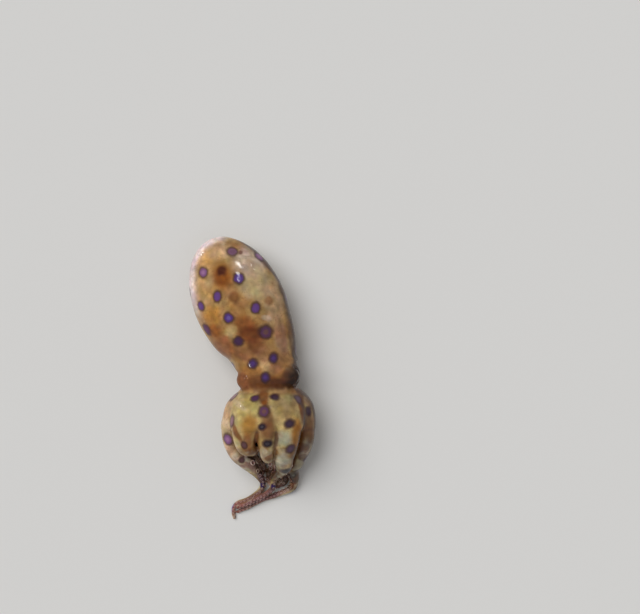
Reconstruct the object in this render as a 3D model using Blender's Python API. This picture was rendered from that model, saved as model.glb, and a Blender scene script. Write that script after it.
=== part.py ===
"""Blue-ringed octopus, life size, lying on its underside with its eight arms gathered into a bud.

The frame: +Z is up and the floor is Z = 0. The origin is the middle of the flat on which the mantle rests.
The mantle points to +Y, the arms to -Y, and the back of the animal faces up. +X is the animal's left.
Every shape is made in millimetres and scaled to metres at the end.
"""

import math
import random

import bmesh
import bpy
import numpy as np
from mathutils import Matrix, Vector

MM = 0.001
GAP = 0.3  # between touching nodes
FLOOR = 0.0

# Mantle: the sac behind the head. Its midline is given in plan, from the tail end to the neck.
MANTLE_MIDLINE = [(-5.9, 14.0), (-4.2, 9.4), (-1.8, 3.9), (0.9, -1.9), (3.2, -6.3), (4.7, -10.7)]
MANTLE_HALF_WIDTH = 8.9
TAIL_ROUND = 14.0  # length over which the tail end rounds off
NECK_HALF_WIDTH = 6.0
NECK_AHEAD = Vector((0.12, -1, 0)).normalized()  # the way the cut across the neck faces
FLATNESS = 0.69  # height over width
MANTLE_MIDDLE_HEIGHT = 5.7
NECK_MIDDLE_HEIGHT = 5.2
NECK_HALF_HEIGHT = 4.9
NECK_FULLNESS = 0.65  # the lower, the longer the mantle stays wide toward the neck
MANTLE_RINGS = 20
BODY_SIDES = 34

# Mantle opening: the pocket inside the free lower rim of the mantle, which the siphon comes out of.
RIM_THICKNESS = 0.6
POCKET_DEPTH = 1.6
POCKET_TOP = 0.6  # where it starts, above the middle of the neck
POCKET_EASE = 2.4  # how far below its start it reaches its full depth

# Head: a short block between the mantle and the arms, with a bulge for each eye.
HEAD_MIDLINE = [(4.74, -11.0), (5.15, -13.1), (5.3, -15.6)]
HEAD_HALF_WIDTH = (5.6, 5.6, 5.1)
HEAD_HALF_HEIGHT = (4.3, 4.5, 4.3)
HEAD_MIDDLE_HEIGHT = (6.3, 6.7, 6.5)
HEAD_RINGS = 7
HEAD_SPARE = 0.5  # made longer by this at both ends before it is cut
ROLL = math.radians(9)  # the head lies turned a little to the animal's right
EYE_RADIUS = 1.7
EYE_BULGE_RADIUS = 2.45
EYE_BULGE_OUT = {1: 3.5, -1: 3.15}  # from the midline to the middle of the left and the right bulge
EYE_BULGE_UP = 0.9
EYE_BULGE_FORWARD = 0.4  # how far the right one stands before the left one, halved
EYE_OUT = 1.15  # from the middle of the bulge to the middle of the eyeball
EYE_LIFT = math.radians(25)  # how far each eye looks up
EYE_GAP = 0.25
LID_THICKNESS = 0.25
LID_OUT = 0.55  # from the middle of the eyeball to the plane of the lids

# Siphon: the funnel, in a groove under the head.
SIPHON_ROUTE = [(4.7, -10.0, 2.45), (4.95, -11.6, 2.3), (5.8, -13.2, 1.95), (6.6, -15.0, 1.5)]
GROOVE_END = (7.4, -16.8, 1.1)
SIPHON_RADIUS = (1.1, 0.9)
SIPHON_BORE = 0.5
SIPHON_BORE_DEPTH = 1.6

# Bud: the gathered arms. Stations run forward from the back of the arm crown, along -Y.
BUD_START = -15.9
BUD_WIDEST = 7.6
BUD_HALF_WIDTH = 9.0
BUD_HALF_HEIGHT = 7.1
BUD_BACK_WIDTH_LENGTH = 11.5
BUD_BACK_HEIGHT_LENGTH = 10.4
BUD_FRONT_LENGTH = 11.4
BUD_MIDLINE = [(0.0, 5.4), (3.2, 5.2), (8.0, 4.95), (12.3, 5.0), (14.3, 5.6), (16.3, 6.3), (18.3, 6.3)]
CROWN_BACK_HEIGHT = 5.7
CROWN_FRONT_HEIGHT = 6.9
PRESSED = 0.2  # how far the lowest arms are pressed flat

# Arm crown: the arm roots and the web that joins them, with the hollow round the mouth.
CROWN_LENGTH = 7.0
CROWN_RINGS = 6
# The crown is rounded off behind: stations and the share of the bud's size there.
SHOULDER = [(0.0, 0.86), (0.4, 0.95), (1.0, 1.0)]
CROWN_SIDES = 40
WEB_GROOVE = 0.15
HOLLOW_HALF_WIDTH = 2.65
HOLLOW_HALF_HEIGHT = 2.4
# Depth and share of the hollow's size, in to the wall round the mouth, over its lip and down the mouth.
HOLLOW = [(0.0, 1.0), (3.2, 0.95), (4.6, 0.62), (4.25, 0.45), (4.3, 0.32), (5.2, 0.22)]

# Arms: half-width across, half-thickness from outer to sucker side.
ARM_HALF_THICKNESS = 1.75
THINNED = 0.33  # share of it that is gone by the bud's front, for the place of the arm's middle
BUD_FRONT = 16.0
# How thick an arm is at a share of its length, over its thickness at the root.
LOOSE_TAPER = [(0.0, 1.0), (0.33, 0.72), (0.46, 0.46), (0.6, 0.26), (1.0, 0.13)]
CURLED_TAPER = [(0.0, 1.0), (0.35, 0.74), (0.6, 0.47), (1.0, 0.15)]
ARM_SIDES = 10
ARM_STEP = 0.85  # between the rings of an arm's surface
PARTINGS = (0.38, 0.69)  # where a loose arm is parted, over its length
TWIST_SPAN = (0.3, 0.8)  # shares of its length between which a loose arm twists

# Suckers: two alternating rows along the inner side of each arm.
SUCKER_SHARE = 0.4  # radius over the arm's half-width
SUCKER_LEAST = 0.24
SUCKER_HEIGHT = 0.62  # over the radius
SUCKER_SPACING = 2.0  # over the radius
SUCKER_ROW = 0.46  # distance from the midline over the arm's half-width
SUCKER_SPLAY = math.radians(18)
SUCKER_SIDES = 6
SUCKER_VARIES = 0.08
SUCKER_END_CLEAR = 1.1  # nearest a sucker comes to the end of a length, over its radius
SUCKER_FOOT = 0.72  # width at the foot over the width at the top
SUCKER_RIM = 0.42  # over the radius
SUCKER_CUP = 0.45  # over the height
FOLD_CLEAR = 2.0  # no suckers nearer than this to the fold of a curled arm

CURL_END = 6.0  # the station at which the curled arms end
CURL_CLOSER = 0.5  # how near to the middle they end, over the place inside

SKIN = ("skin", (0.42, 0.28, 0.14), 0.35)
PALE_SKIN = ("pale_skin", (0.55, 0.45, 0.30), 0.35)
EYE_BLACK = ("eye", (0.02, 0.02, 0.03), 0.1)


class Arm:
    """One arm: its place round the bud, its size, and where its far part goes.

    clock is the angle round the bud in degrees, 0 at the animal's left and 90 on top. drift is added to it
    by the bud's front. A curled arm turns inward at the station turn and runs back to the place inside. A
    loose arm leaves the bud at the station leave, follows its own route of points, and twists on it. It
    thins early on, unless it is full.
    """

    def __init__(self, name, clock, half_width, drift=0.0, sunk=0.0, turn=None, inside=None, leave=None,
                 route=(), twist=0.0, full=False):
        self.name = name
        self.clock = clock
        self.half_width = half_width
        self.drift = drift
        self.sunk = sunk
        self.turn = turn
        self.inside = inside
        self.leave = leave
        self.route = route
        self.twist = twist
        self.taper = CURLED_TAPER if turn or full else LOOSE_TAPER


ARMS = [
    Arm("arm_left_1", 91, 1.7, sunk=0.3, turn=10.6, inside=(0.4, 1.35)),
    Arm("arm_right_1", 127.5, 2.35, turn=9.0, inside=(-1.9, 1.3)),
    Arm("arm_right_3", -132, 1.8, leave=14.2, full=True,
        route=[(3.55, -31.2, 1.4), (3.6, -32.1, 0.95), (2.95, -32.5, 0.7), (2.35, -31.7, 0.55),
               (2.1, -30.6, 0.45)]),
    Arm("arm_left_4", -53, 1.8, leave=14.4, full=True,
        route=[(8.15, -32.3, 1.45), (8.15, -33.7, 1.1), (7.4, -34.6, 0.9), (6.65, -33.9, 0.75),
               (6.7, -32.6, 0.65), (7.0, -31.5, 0.55)]),
    Arm("arm_right_4", -92, 1.95, leave=15.2, full=True,
        route=[(5.1, -32.4, 1.0), (4.85, -33.8, 0.9), (5.5, -34.9, 0.75), (6.7, -35.3, 0.55)]),
    Arm("arm_left_2", 55, 2.25, drift=9, leave=14.8, twist=195,
        route=[(5.9, -33.2, 3.1), (5.55, -35.3, 2.0), (4.2, -36.65, 1.5), (2.4, -37.65, 1.33),
               (0.6, -38.55, 1.27), (-0.7, -39.05, 1.07), (-1.4, -39.45, 0.87)]),
    Arm("arm_right_2", 178, 2.05, drift=-22, leave=14.6, twist=105,
        route=[(3.5, -33.8, 1.8), (3.3, -35.6, 1.0), (1.9, -37.1, 0.5), (0.3, -38.0, 0.45),
               (-1.3, -38.5, 0.4), (-2.2, -39.4, 0.35), (-2.3, -40.8, 0.3), (-2.1, -41.6, 0.3)]),
    Arm("arm_left_3", 2.5, 1.88, leave=15.2, twist=-60,
        route=[(10.0, -33.4, 2.2), (9.8, -34.9, 1.2), (9.0, -35.8, 0.8), (7.7, -36.4, 0.6),
               (5.3, -37.3, 0.5), (3.5, -37.9, 0.45), (1.9, -38.8, 0.4), (0.3, -39.65, 0.35),
               (-0.8, -40.05, 0.3), (-1.4, -40.4, 0.3)]),
]


def smooth_through(points, step):
    """Points every step or so along a smooth curve through the given ones."""
    given = np.array(points, float)
    padded = np.vstack([2 * given[0] - given[1], given, 2 * given[-1] - given[-2]])
    dense = []
    for before, start, end, after in zip(padded, padded[1:], padded[2:], padded[3:]):
        for t in np.linspace(0, 1, 24, endpoint=False):
            square = 2 * before - 5 * start + 4 * end - after
            cube = 3 * start - before - 3 * end + after
            dense.append(0.5 * (2 * start + (end - before) * t + square * t ** 2 + cube * t ** 3))
    dense.append(given[-1])
    dense = np.array(dense)
    along = np.concatenate([[0], np.cumsum(np.linalg.norm(np.diff(dense, axis=0), axis=1))])
    places = np.linspace(0, along[-1], max(2, round(along[-1] / step) + 1))
    return np.array([[np.interp(place, along, axis) for axis in dense.T] for place in places])


def read(table, place):
    """The value at a place in a table of (place, value) pairs, eased between them."""
    places = [row[0] for row in table]
    index = int(np.clip(np.searchsorted(places, place) - 1, 0, len(table) - 2))
    (low, start), (high, end) = table[index], table[index + 1]
    share = min(1.0, max(0.0, (place - low) / (high - low)))
    return start + (end - start) * share * share * (3 - 2 * share)


def on_floor(point):
    """The point, or the place on the floor right above it where it lies lower."""
    return Vector((point[0], point[1], max(point[2], FLOOR)))


def loft(name, rings, pole_at_start=False, pole_at_end=False):
    """A closed mesh through rings of points. An end that isn't a pole is closed by a fan."""
    shape = bmesh.new()
    rows = [[shape.verts.new(on_floor(point)) for point in ring] for ring in rings]
    count = len(rows[0])
    for row, following in zip(rows, rows[1:]):
        for i in range(count):
            shape.faces.new((row[i], row[(i + 1) % count], following[(i + 1) % count], following[i]))
    for row, pole in ((rows[0], pole_at_start), (rows[-1], pole_at_end)):
        middle = sum((vert.co for vert in row), Vector()) / count
        if pole:
            bmesh.ops.pointmerge(shape, verts=row, merge_co=middle)
            continue
        centre = shape.verts.new(middle)
        for i in range(count):
            shape.faces.new((row[i], row[(i + 1) % count], centre))
    bmesh.ops.recalc_face_normals(shape, faces=shape.faces)
    return mesh_object(name, shape)


def mesh_object(name, shape):
    """An object from a bmesh, which is used up."""
    mesh = bpy.data.meshes.new(name)
    shape.to_mesh(mesh)
    shape.free()
    made = bpy.data.objects.new(name, mesh)
    bpy.context.scene.collection.objects.link(made)
    return made


def ball(name, centre, radius, segments=16, rings=9):
    shape = bmesh.new()
    bmesh.ops.create_uvsphere(shape, u_segments=segments, v_segments=rings, radius=radius)
    bmesh.ops.translate(shape, verts=shape.verts, vec=centre)
    return mesh_object(name, shape)


def torus(name, centre, axis, major, minor, segments=18, sides=5):
    """A ring round an axis, as a loft closed on itself."""
    shape = bmesh.new()
    turn = Vector(axis).to_track_quat("Z", "Y").to_matrix()
    rows = []
    for i in range(segments):
        around = 2 * math.pi * i / segments
        row = []
        for j in range(sides):
            across = 2 * math.pi * j / sides
            reach = major + minor * math.cos(across)
            spot = Vector((reach * math.cos(around), reach * math.sin(around), minor * math.sin(across)))
            row.append(shape.verts.new(Vector(centre) + turn @ spot))
        rows.append(row)
    for i, row in enumerate(rows):
        following = rows[(i + 1) % segments]
        for j in range(sides):
            shape.faces.new((row[j], following[j], following[(j + 1) % sides], row[(j + 1) % sides]))
    bmesh.ops.recalc_face_normals(shape, faces=shape.faces)
    return mesh_object(name, shape)


def combine(base, others, operation):
    """The base with the other objects joined to it or cut from it. The others are used up."""
    group = bpy.data.collections.new(base.name + "_pieces")
    bpy.context.scene.collection.children.link(group)
    for other in others:
        group.objects.link(other)
        bpy.context.scene.collection.objects.unlink(other)
    join = base.modifiers.new(operation, "BOOLEAN")
    join.operation = operation
    join.operand_type = "COLLECTION"
    join.collection = group
    join.solver = "EXACT"
    bpy.context.view_layer.update()
    mesh = bpy.data.meshes.new_from_object(base.evaluated_get(bpy.context.evaluated_depsgraph_get()))
    base.modifiers.clear()
    base.data = mesh
    for other in others:
        bpy.data.objects.remove(other)
    bpy.data.collections.remove(group)
    keep_largest(base)
    return base


def keep_largest(part):
    """Drops every loose shell of the object but its largest."""
    shape = bmesh.new()
    shape.from_mesh(part.data)
    left = set(shape.verts)
    shells = []
    while left:
        reached = {left.pop()}
        edge_of_search = list(reached)
        while edge_of_search:
            vert = edge_of_search.pop()
            for edge in vert.link_edges:
                other = edge.other_vert(vert)
                if other not in reached:
                    reached.add(other)
                    edge_of_search.append(other)
        left -= reached
        shells.append(reached)
    shells.sort(key=len)
    for shell in shells[:-1]:
        bmesh.ops.delete(shape, geom=list(shell), context="VERTS")
    shape.to_mesh(part.data)
    shape.free()


def ellipse_ring(centre, across, up, half_width, half_height, sides):
    """Points round an ellipse, starting at its +across side and going over the top."""
    return [centre + across * (half_width * math.cos(angle)) + up * (half_height * math.sin(angle))
            for angle in (2 * math.pi * i / sides for i in range(sides))]


def mantle_half_width(place, length):
    """Half the mantle's width, at a distance from the tail end."""
    if place < TAIL_ROUND:
        return MANTLE_HALF_WIDTH * math.sqrt(max(0.0, 1 - ((TAIL_ROUND - place) / TAIL_ROUND) ** 2))
    share = min(1.0, (place - TAIL_ROUND) / (length - TAIL_ROUND))
    eased = ((1 + math.cos(math.pi * share)) / 2) ** NECK_FULLNESS
    return NECK_HALF_WIDTH + (MANTLE_HALF_WIDTH - NECK_HALF_WIDTH) * eased


def plan_curve(points, step):
    """Places and directions along a midline that is given in plan."""
    route = smooth_through([(x, y, 0.0) for x, y in points], step)
    heading = np.gradient(route, axis=0)
    heading /= np.linalg.norm(heading, axis=1)[:, None]
    along = np.concatenate([[0], np.cumsum(np.linalg.norm(np.diff(route, axis=0), axis=1))])
    return route, heading, along


def make_mantle():
    """The mantle: an ellipse all the way, rounded at the tail end and flat where it meets the floor."""
    route, heading, along = plan_curve(MANTLE_MIDLINE, 0.25)
    up = Vector((0, 0, 1))
    rings = []
    for i in range(MANTLE_RINGS + 1):
        place = along[-1] * (1 - math.cos(math.pi * i / MANTLE_RINGS / 2)) if i else 0.04
        centre = Vector([np.interp(place, along, axis) for axis in route.T])
        neck = max(0.0, (place - TAIL_ROUND) / (along[-1] - TAIL_ROUND)) ** 2
        forward = Vector([np.interp(place, along, axis) for axis in heading.T])
        forward = forward.lerp(NECK_AHEAD, neck).normalized()
        half_width = mantle_half_width(place, along[-1])
        half_height = half_width * FLATNESS * (1 - neck) + NECK_HALF_HEIGHT * neck
        centre.z = MANTLE_MIDDLE_HEIGHT * (1 - neck) + NECK_MIDDLE_HEIGHT * neck
        rings.append(ellipse_ring(centre, up.cross(forward), up, half_width, half_height, BODY_SIDES))
    inner = ellipse_ring(centre, up.cross(forward), up,
                         half_width - RIM_THICKNESS, half_height - RIM_THICKNESS, BODY_SIDES)
    pocket = []
    for point in inner:
        below = max(0.0, min(1.0, (centre.z + POCKET_TOP - point.z) / POCKET_EASE))
        pocket.append(point - forward * (POCKET_DEPTH * below))
    return loft("mantle", [*rings, inner, pocket], pole_at_start=True)


def head_frame():
    """The head's own sideways and upward directions, rolled to the animal's right."""
    turn = Matrix.Rotation(-ROLL, 3, "Y")
    return turn @ Vector((1, 0, 0)), turn @ Vector((0, 0, 1))


def eye_place(side):
    """The middle of the bulge, the middle of the eyeball and the way the eye looks. side is 1 at the left."""
    across, up = head_frame()
    bulge = Vector((*HEAD_MIDLINE[1], HEAD_MIDDLE_HEIGHT[1]))
    bulge += across * (side * EYE_BULGE_OUT[side]) + up * EYE_BULGE_UP
    bulge.y += side * EYE_BULGE_FORWARD
    look = (across * (side * math.cos(EYE_LIFT)) + up * math.sin(EYE_LIFT)).normalized()
    return bulge, bulge + look * EYE_OUT, look


def box_beyond(point, ahead):
    """A large box on the far side of the plane through a point."""
    size = 30.0
    shape = bmesh.new()
    bmesh.ops.create_cube(shape, size=size)
    turn = Vector(ahead).to_track_quat("Z", "Y").to_matrix().to_4x4()
    shape.transform(Matrix.Translation(Vector(point) + Vector(ahead) * size / 2) @ turn)
    return mesh_object("beyond", shape)


def make_head():
    """The head block with its eye bulges, lids and sockets, and a groove below for the siphon."""
    across, up = head_frame()
    first, last = Vector((*HEAD_MIDLINE[0], 0)), Vector((*HEAD_MIDLINE[2], 0))
    route, _, along = plan_curve(HEAD_MIDLINE, 0.25)
    thirds = (0.0, 0.5, 1.0)
    rings = []
    for i in range(HEAD_RINGS + 1):
        share = i / HEAD_RINGS
        centre = Vector([np.interp(share * along[-1], along, axis) for axis in route.T])
        centre.y += HEAD_SPARE * (1 - 2 * share)
        centre.z = np.interp(share, thirds, HEAD_MIDDLE_HEIGHT)
        half_width = np.interp(share, thirds, HEAD_HALF_WIDTH)
        half_height = np.interp(share, thirds, HEAD_HALF_HEIGHT)
        slant = -NECK_AHEAD.x / NECK_AHEAD.y * (1 - share)
        rings.append([Vector((point.x, centre.y + (point.x - centre.x) * slant, point.z))
                      for point in ellipse_ring(centre, across, up, half_width, half_height, BODY_SIDES)])
    head = loft("head", rings)
    growths = []
    groove_route = smooth_through([*SIPHON_ROUTE, GROOVE_END], 1.6)
    groove_radius = SIPHON_RADIUS[0] + GAP * 1.1
    cutters = [box_beyond(first, -NECK_AHEAD), box_beyond(last, (0, -1, 0)),
               tube("groove", groove_route, (groove_radius, groove_radius))]
    for side in (1, -1):
        bulge, eyeball, look = eye_place(side)
        growths.append(ball("bulge", bulge, EYE_BULGE_RADIUS))
        lid_radius = math.sqrt(EYE_RADIUS ** 2 - LID_OUT ** 2) + LID_THICKNESS * 0.6
        growths.append(torus("lid", eyeball + look * LID_OUT, look, lid_radius, LID_THICKNESS))
        cutters.append(ball("socket", eyeball, EYE_RADIUS + EYE_GAP))
    combine(head, growths, "UNION")
    return combine(head, cutters, "DIFFERENCE")


def make_eyes():
    """Two eyeballs, each resting in its socket."""
    return [ball(name, eye_place(side)[1], EYE_RADIUS)
            for name, side in (("eye_left", 1), ("eye_right", -1))]


def frames_along(route, outward, twist=0.0):
    """Place, forward, inward and sideways at each point of a route.

    Inward starts opposite to outward. The frame turns by twist degrees over the span of the route for it.
    """
    forward = np.gradient(route, axis=0)
    forward /= np.linalg.norm(forward, axis=1)[:, None]
    inward = Vector(-np.array(outward))
    frames = []
    for i, (place, ahead) in enumerate(zip(route, forward)):
        ahead = Vector(ahead)
        inward = (inward - ahead * inward.dot(ahead)).normalized()
        turn = math.radians(twist) * np.interp(i / len(route), TWIST_SPAN, (0, 1))
        turned = Matrix.Rotation(turn, 3, ahead) @ inward
        frames.append((Vector(place), ahead, turned, ahead.cross(turned)))
    return frames


def tube(name, route, radii, bore=None):
    """A round tapering tube along a route. A bore is a (radius, depth) at its far end, and is blind."""
    sides = 14
    frames = frames_along(route, (0, 0, -1))
    rings = []
    for i, (place, _, inward, sideways) in enumerate(frames):
        radius = np.interp(i / (len(frames) - 1), (0, 1), radii)
        rings.append(ellipse_ring(place, sideways, inward, radius, radius, sides))
    if bore:
        radius, deep = bore
        place, ahead, inward, sideways = frames[-1]
        for back in (0.0, deep):
            rings.append(ellipse_ring(place - ahead * back, sideways, inward, radius, radius, sides))
    return loft(name, rings)


def make_siphon():
    """The siphon: a short tapering tube with a bore at its free end, from inside the mantle opening."""
    return tube("siphon", smooth_through(SIPHON_ROUTE, 0.8), SIPHON_RADIUS, (SIPHON_BORE, SIPHON_BORE_DEPTH))


def bud_size(station):
    """Middle, half-width and half-height of the bud at a station."""
    from_widest = station - BUD_WIDEST
    if from_widest < 0:
        wide = math.sqrt(1 - (from_widest / BUD_BACK_WIDTH_LENGTH) ** 2)
        high = math.sqrt(1 - (from_widest / BUD_BACK_HEIGHT_LENGTH) ** 2)
        rise = station / BUD_WIDEST
        height = CROWN_BACK_HEIGHT * (1 - rise) + CROWN_FRONT_HEIGHT * rise
    else:
        wide = high = 1 - (from_widest / BUD_FRONT_LENGTH) ** 2
        height = BUD_HALF_HEIGHT * high - PRESSED
    middle = Vector((read(BUD_MIDLINE, station), BUD_START - station, height))
    return middle, BUD_HALF_WIDTH * wide, BUD_HALF_HEIGHT * high


def make_crown():
    """The arm crown: lobed where the arms grow, grooved where the web joins them, hollow round the mouth."""
    across, up = Vector((1, 0, 0)), Vector((0, 0, 1))
    clocks = sorted(math.radians(arm.clock) % (2 * math.pi) for arm in ARMS)

    def lobe(angle):
        """1 on an arm and 0 midway between two."""
        apart = min(abs((angle - clock + math.pi) % (2 * math.pi) - math.pi) for clock in clocks)
        return max(0.0, math.cos(apart * 4)) ** 0.6

    rings = []
    stations = [place for place, _ in SHOULDER[:-1]]
    stations += list(np.linspace(SHOULDER[-1][0], CROWN_LENGTH, CROWN_RINGS))
    for station in stations:
        middle, half_width, half_height = bud_size(station)
        full = read(SHOULDER, station)
        half_width *= full
        half_height *= full
        groove = WEB_GROOVE * (station / CROWN_LENGTH) ** 2
        ring = []
        for k, point in enumerate(ellipse_ring(middle, across, up, half_width, half_height, CROWN_SIDES)):
            shrink = 1 - groove * (1 - lobe(2 * math.pi * k / CROWN_SIDES))
            ring.append(middle + (point - middle) * shrink)
        rings.append(ring)
    for depth, share in HOLLOW:
        inner = middle + Vector((0, depth, 0))
        rings.append(ellipse_ring(inner, across, up, HOLLOW_HALF_WIDTH * share, HOLLOW_HALF_HEIGHT * share,
                                  CROWN_SIDES))
    return loft("arm_crown", rings)


def arm_place(arm, station, half_thickness):
    """Where an arm's middle lies in the bud at a station, and the way out from the bud there."""
    middle, half_width, half_height = bud_size(station)
    ahead = max(0.0, station - CROWN_LENGTH) / (BUD_WIDEST + BUD_FRONT_LENGTH - CROWN_LENGTH)
    angle = math.radians(arm.clock + arm.drift * ahead)
    wide = half_width - half_thickness
    high = half_height - half_thickness
    out = Vector((math.cos(angle) / wide, 0, math.sin(angle) / high)).normalized()
    place = middle + Vector((wide * math.cos(angle), 0, high * math.sin(angle))) - out * arm.sunk
    return place, out


def arm_route(arm):
    """The middle line of an arm from the crown's front to its tip, and the way out from the bud there."""
    last = arm.turn if arm.turn else arm.leave
    start = CROWN_LENGTH + GAP
    stations = np.linspace(start, last, max(2, round((last - start) / 1.3) + 1))
    points = []
    for station in stations:
        thinned = THINNED * (station - start) / (BUD_FRONT - start)
        points.append(arm_place(arm, station, ARM_HALF_THICKNESS * (1 - thinned))[0])
    out = arm_place(arm, start, ARM_HALF_THICKNESS)[1]
    if arm.turn:
        near = points[-1]
        middle, _, _ = bud_size(arm.turn)
        far = Vector((middle.x + arm.inside[0], near.y, middle.z + arm.inside[1]))
        half_way = (near + far) / 2
        reach = (far - near).length / 2
        for angle in (45, 90, 135):
            swing = math.radians(angle)
            ahead = Vector((0, -reach * math.sin(swing), 0))
            points.append(half_way + (near - half_way) * math.cos(swing) + ahead)
        points.append(far)
        closer = Vector((arm.inside[0], 0, arm.inside[1])) * CURL_CLOSER
        end = bud_size(CURL_END)[0] + closer
        points += [far.lerp(end, 0.5), end]
    points += [Vector(point) for point in arm.route]
    return smooth_through(points, 0.2), out


def make_sucker(place, look, radius, height):
    """One sucker: a short cone with a cup sunk in its top."""
    shape = bmesh.new()
    bmesh.ops.create_cone(shape, cap_ends=True, segments=SUCKER_SIDES,
                          radius1=radius * SUCKER_FOOT, radius2=radius, depth=height * 2)
    top = max(shape.faces, key=lambda face: face.calc_center_median().z)
    bmesh.ops.inset_region(shape, faces=[top], thickness=radius * SUCKER_RIM, depth=-height * SUCKER_CUP)
    shape.transform(Matrix.Translation(place) @ look.to_track_quat("Z", "Y").to_matrix().to_4x4())
    return mesh_object("sucker", shape)


def make_length(name, arm, frame_at, share_at, first, last, clear, luck):
    """One length of an arm between two places along it, with its suckers fused on."""
    rings = []
    count = max(3, round((last - first) / ARM_STEP))
    for i in range(count + 1):
        place = first + (last - first) * i / count
        spot, ahead, inward, sideways = frame_at(place)
        if i == 0 and place > 0:
            spot = spot + ahead * (GAP / 2)
        if i == count and not name.endswith("tip"):
            spot = spot - ahead * (GAP / 2)
        share = share_at(place)
        rings.append(ellipse_ring(spot, sideways, inward, arm.half_width * share, ARM_HALF_THICKNESS * share,
                                  ARM_SIDES))
    length = loft(name, rings)
    suckers = []
    place, row = first + GAP / 2, 1
    while True:
        radius = max(SUCKER_LEAST, SUCKER_SHARE * arm.half_width * share_at(place))
        place += radius * (SUCKER_SPACING if suckers else SUCKER_END_CLEAR)
        if place + radius * SUCKER_END_CLEAR + GAP / 2 > last:
            break
        row = -row
        if any(abs(place - fold) < FOLD_CLEAR for fold in clear):
            continue
        spot, _, inward, sideways = frame_at(place)
        share = share_at(place)
        radius *= 1 + luck.uniform(-SUCKER_VARIES, SUCKER_VARIES)
        tilt = math.asin(SUCKER_ROW) * row
        foot = sideways * (arm.half_width * math.sin(tilt)) + inward * (ARM_HALF_THICKNESS * math.cos(tilt))
        look = inward * math.cos(SUCKER_SPLAY) + sideways * (row * math.sin(SUCKER_SPLAY))
        suckers.append(make_sucker(spot + foot * share, look, radius, radius * SUCKER_HEIGHT))
    if suckers:
        combine(length, suckers, "UNION")
    if min(vert.co.z for vert in length.data.vertices) < FLOOR:
        combine(length, [box_beyond((0, -35, FLOOR), (0, 0, -1))], "DIFFERENCE")
    return length


def make_arm(arm, luck):
    """The three lengths of an arm. A curled arm is parted at its fold."""
    route, out = arm_route(arm)
    frames = frames_along(route, out, arm.twist)
    along = np.concatenate([[0], np.cumsum(np.linalg.norm(np.diff(route, axis=0), axis=1))])
    total = along[-1]

    def share_at(place):
        return np.interp(place / total, *zip(*arm.taper))

    def frame_at(place):
        spot = Vector([np.interp(place, along, axis) for axis in route.T])
        _, ahead, inward, sideways = frames[int(np.argmin(abs(along - place)))]
        if place == 0:
            ahead = Vector((0, -1, 0))
            inward = (inward - ahead * inward.dot(ahead)).normalized()
            sideways = ahead.cross(inward)
        return spot, ahead, inward, sideways

    fold = along[int(np.argmin(route[:, 1]))] if arm.turn else None
    parting = [0.0, *((fold, (fold + total) / 2) if fold else (share * total for share in PARTINGS)), total]
    clear = [fold] if fold else []
    return [make_length(f"{arm.name}_{name}", arm, frame_at, share_at, first, last, clear, luck)
            for name, first, last in zip(("base", "middle", "tip"), parting, parting[1:])]


def finish(part, look):
    """Gives a part its material and brings it to metres."""
    name, colour, roughness = look
    material = bpy.data.materials.get(name) or bpy.data.materials.new(name)
    material.use_nodes = True
    surface = material.node_tree.nodes["Principled BSDF"]
    surface.inputs["Base Color"].default_value = (*colour, 1)
    surface.inputs["Roughness"].default_value = roughness
    surface.inputs["Metallic"].default_value = 0.0
    part.data.materials.clear()
    part.data.materials.append(material)
    part.data.transform(Matrix.Scale(MM, 4))
    part.data.shade_smooth()


def main():
    for old in list(bpy.data.objects):
        bpy.data.objects.remove(old)
    luck = random.Random(8)
    finish(make_mantle(), SKIN)
    finish(make_head(), SKIN)
    finish(make_siphon(), PALE_SKIN)
    finish(make_crown(), SKIN)
    for eye in make_eyes():
        finish(eye, EYE_BLACK)
    for arm in ARMS:
        for length in make_arm(arm, luck):
            finish(length, SKIN)
    octopus = bpy.data.collections.new("blue_ringed_octopus")
    bpy.context.scene.collection.children.link(octopus)
    for part in list(bpy.context.scene.collection.objects):
        octopus.objects.link(part)
        bpy.context.scene.collection.objects.unlink(part)


main()
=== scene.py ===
"""Looks of the blue-ringed octopus: one wet skin over all its flesh, its suckers and its eyes.

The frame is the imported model's: +Z up, the floor at Z = 0, the mantle towards +Y, the animal's left at +X.
Shapes are worked out in millimetres, as in the CAD source, and scaled to metres when a mesh is made.
The skin is drawn over a grid of distances to the body's forms, so that they flow into one another.
"""

import math
import random

import bmesh
import bpy
import numpy as np
from mathutils import Matrix, Vector, kdtree, noise

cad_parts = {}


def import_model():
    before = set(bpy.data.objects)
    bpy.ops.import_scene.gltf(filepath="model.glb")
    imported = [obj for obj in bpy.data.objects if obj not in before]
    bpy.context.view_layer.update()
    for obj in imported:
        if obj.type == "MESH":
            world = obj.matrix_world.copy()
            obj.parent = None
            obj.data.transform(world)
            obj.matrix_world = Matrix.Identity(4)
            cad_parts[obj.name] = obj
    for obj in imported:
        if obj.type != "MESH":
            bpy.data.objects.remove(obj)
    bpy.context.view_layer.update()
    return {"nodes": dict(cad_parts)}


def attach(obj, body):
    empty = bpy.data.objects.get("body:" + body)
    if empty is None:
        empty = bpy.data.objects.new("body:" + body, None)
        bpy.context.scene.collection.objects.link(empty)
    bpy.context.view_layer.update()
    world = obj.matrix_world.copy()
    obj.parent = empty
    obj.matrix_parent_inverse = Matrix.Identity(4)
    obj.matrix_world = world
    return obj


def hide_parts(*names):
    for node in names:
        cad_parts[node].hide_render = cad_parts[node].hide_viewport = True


MM = 0.001
CELL = 0.14  # of the grid
FAR = 9.0
OPEN_REACH = 0.8  # a point of the skin is open where nothing else lies this near

# Boxes that the skin and its larger parts lie in: their low and high corners.
SKIN_BOX = ((-12, -43, -0.7), (15.5, 16, 15))
MANTLE_BOX = ((-11.5, -12.5, -1), (13, 16, 13))
HEAD_BOX = ((-2.5, -17, 0), (13, -5, 13))
CROWN_BOX = ((-6, -25, -1), (16, -14, 16))

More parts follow.
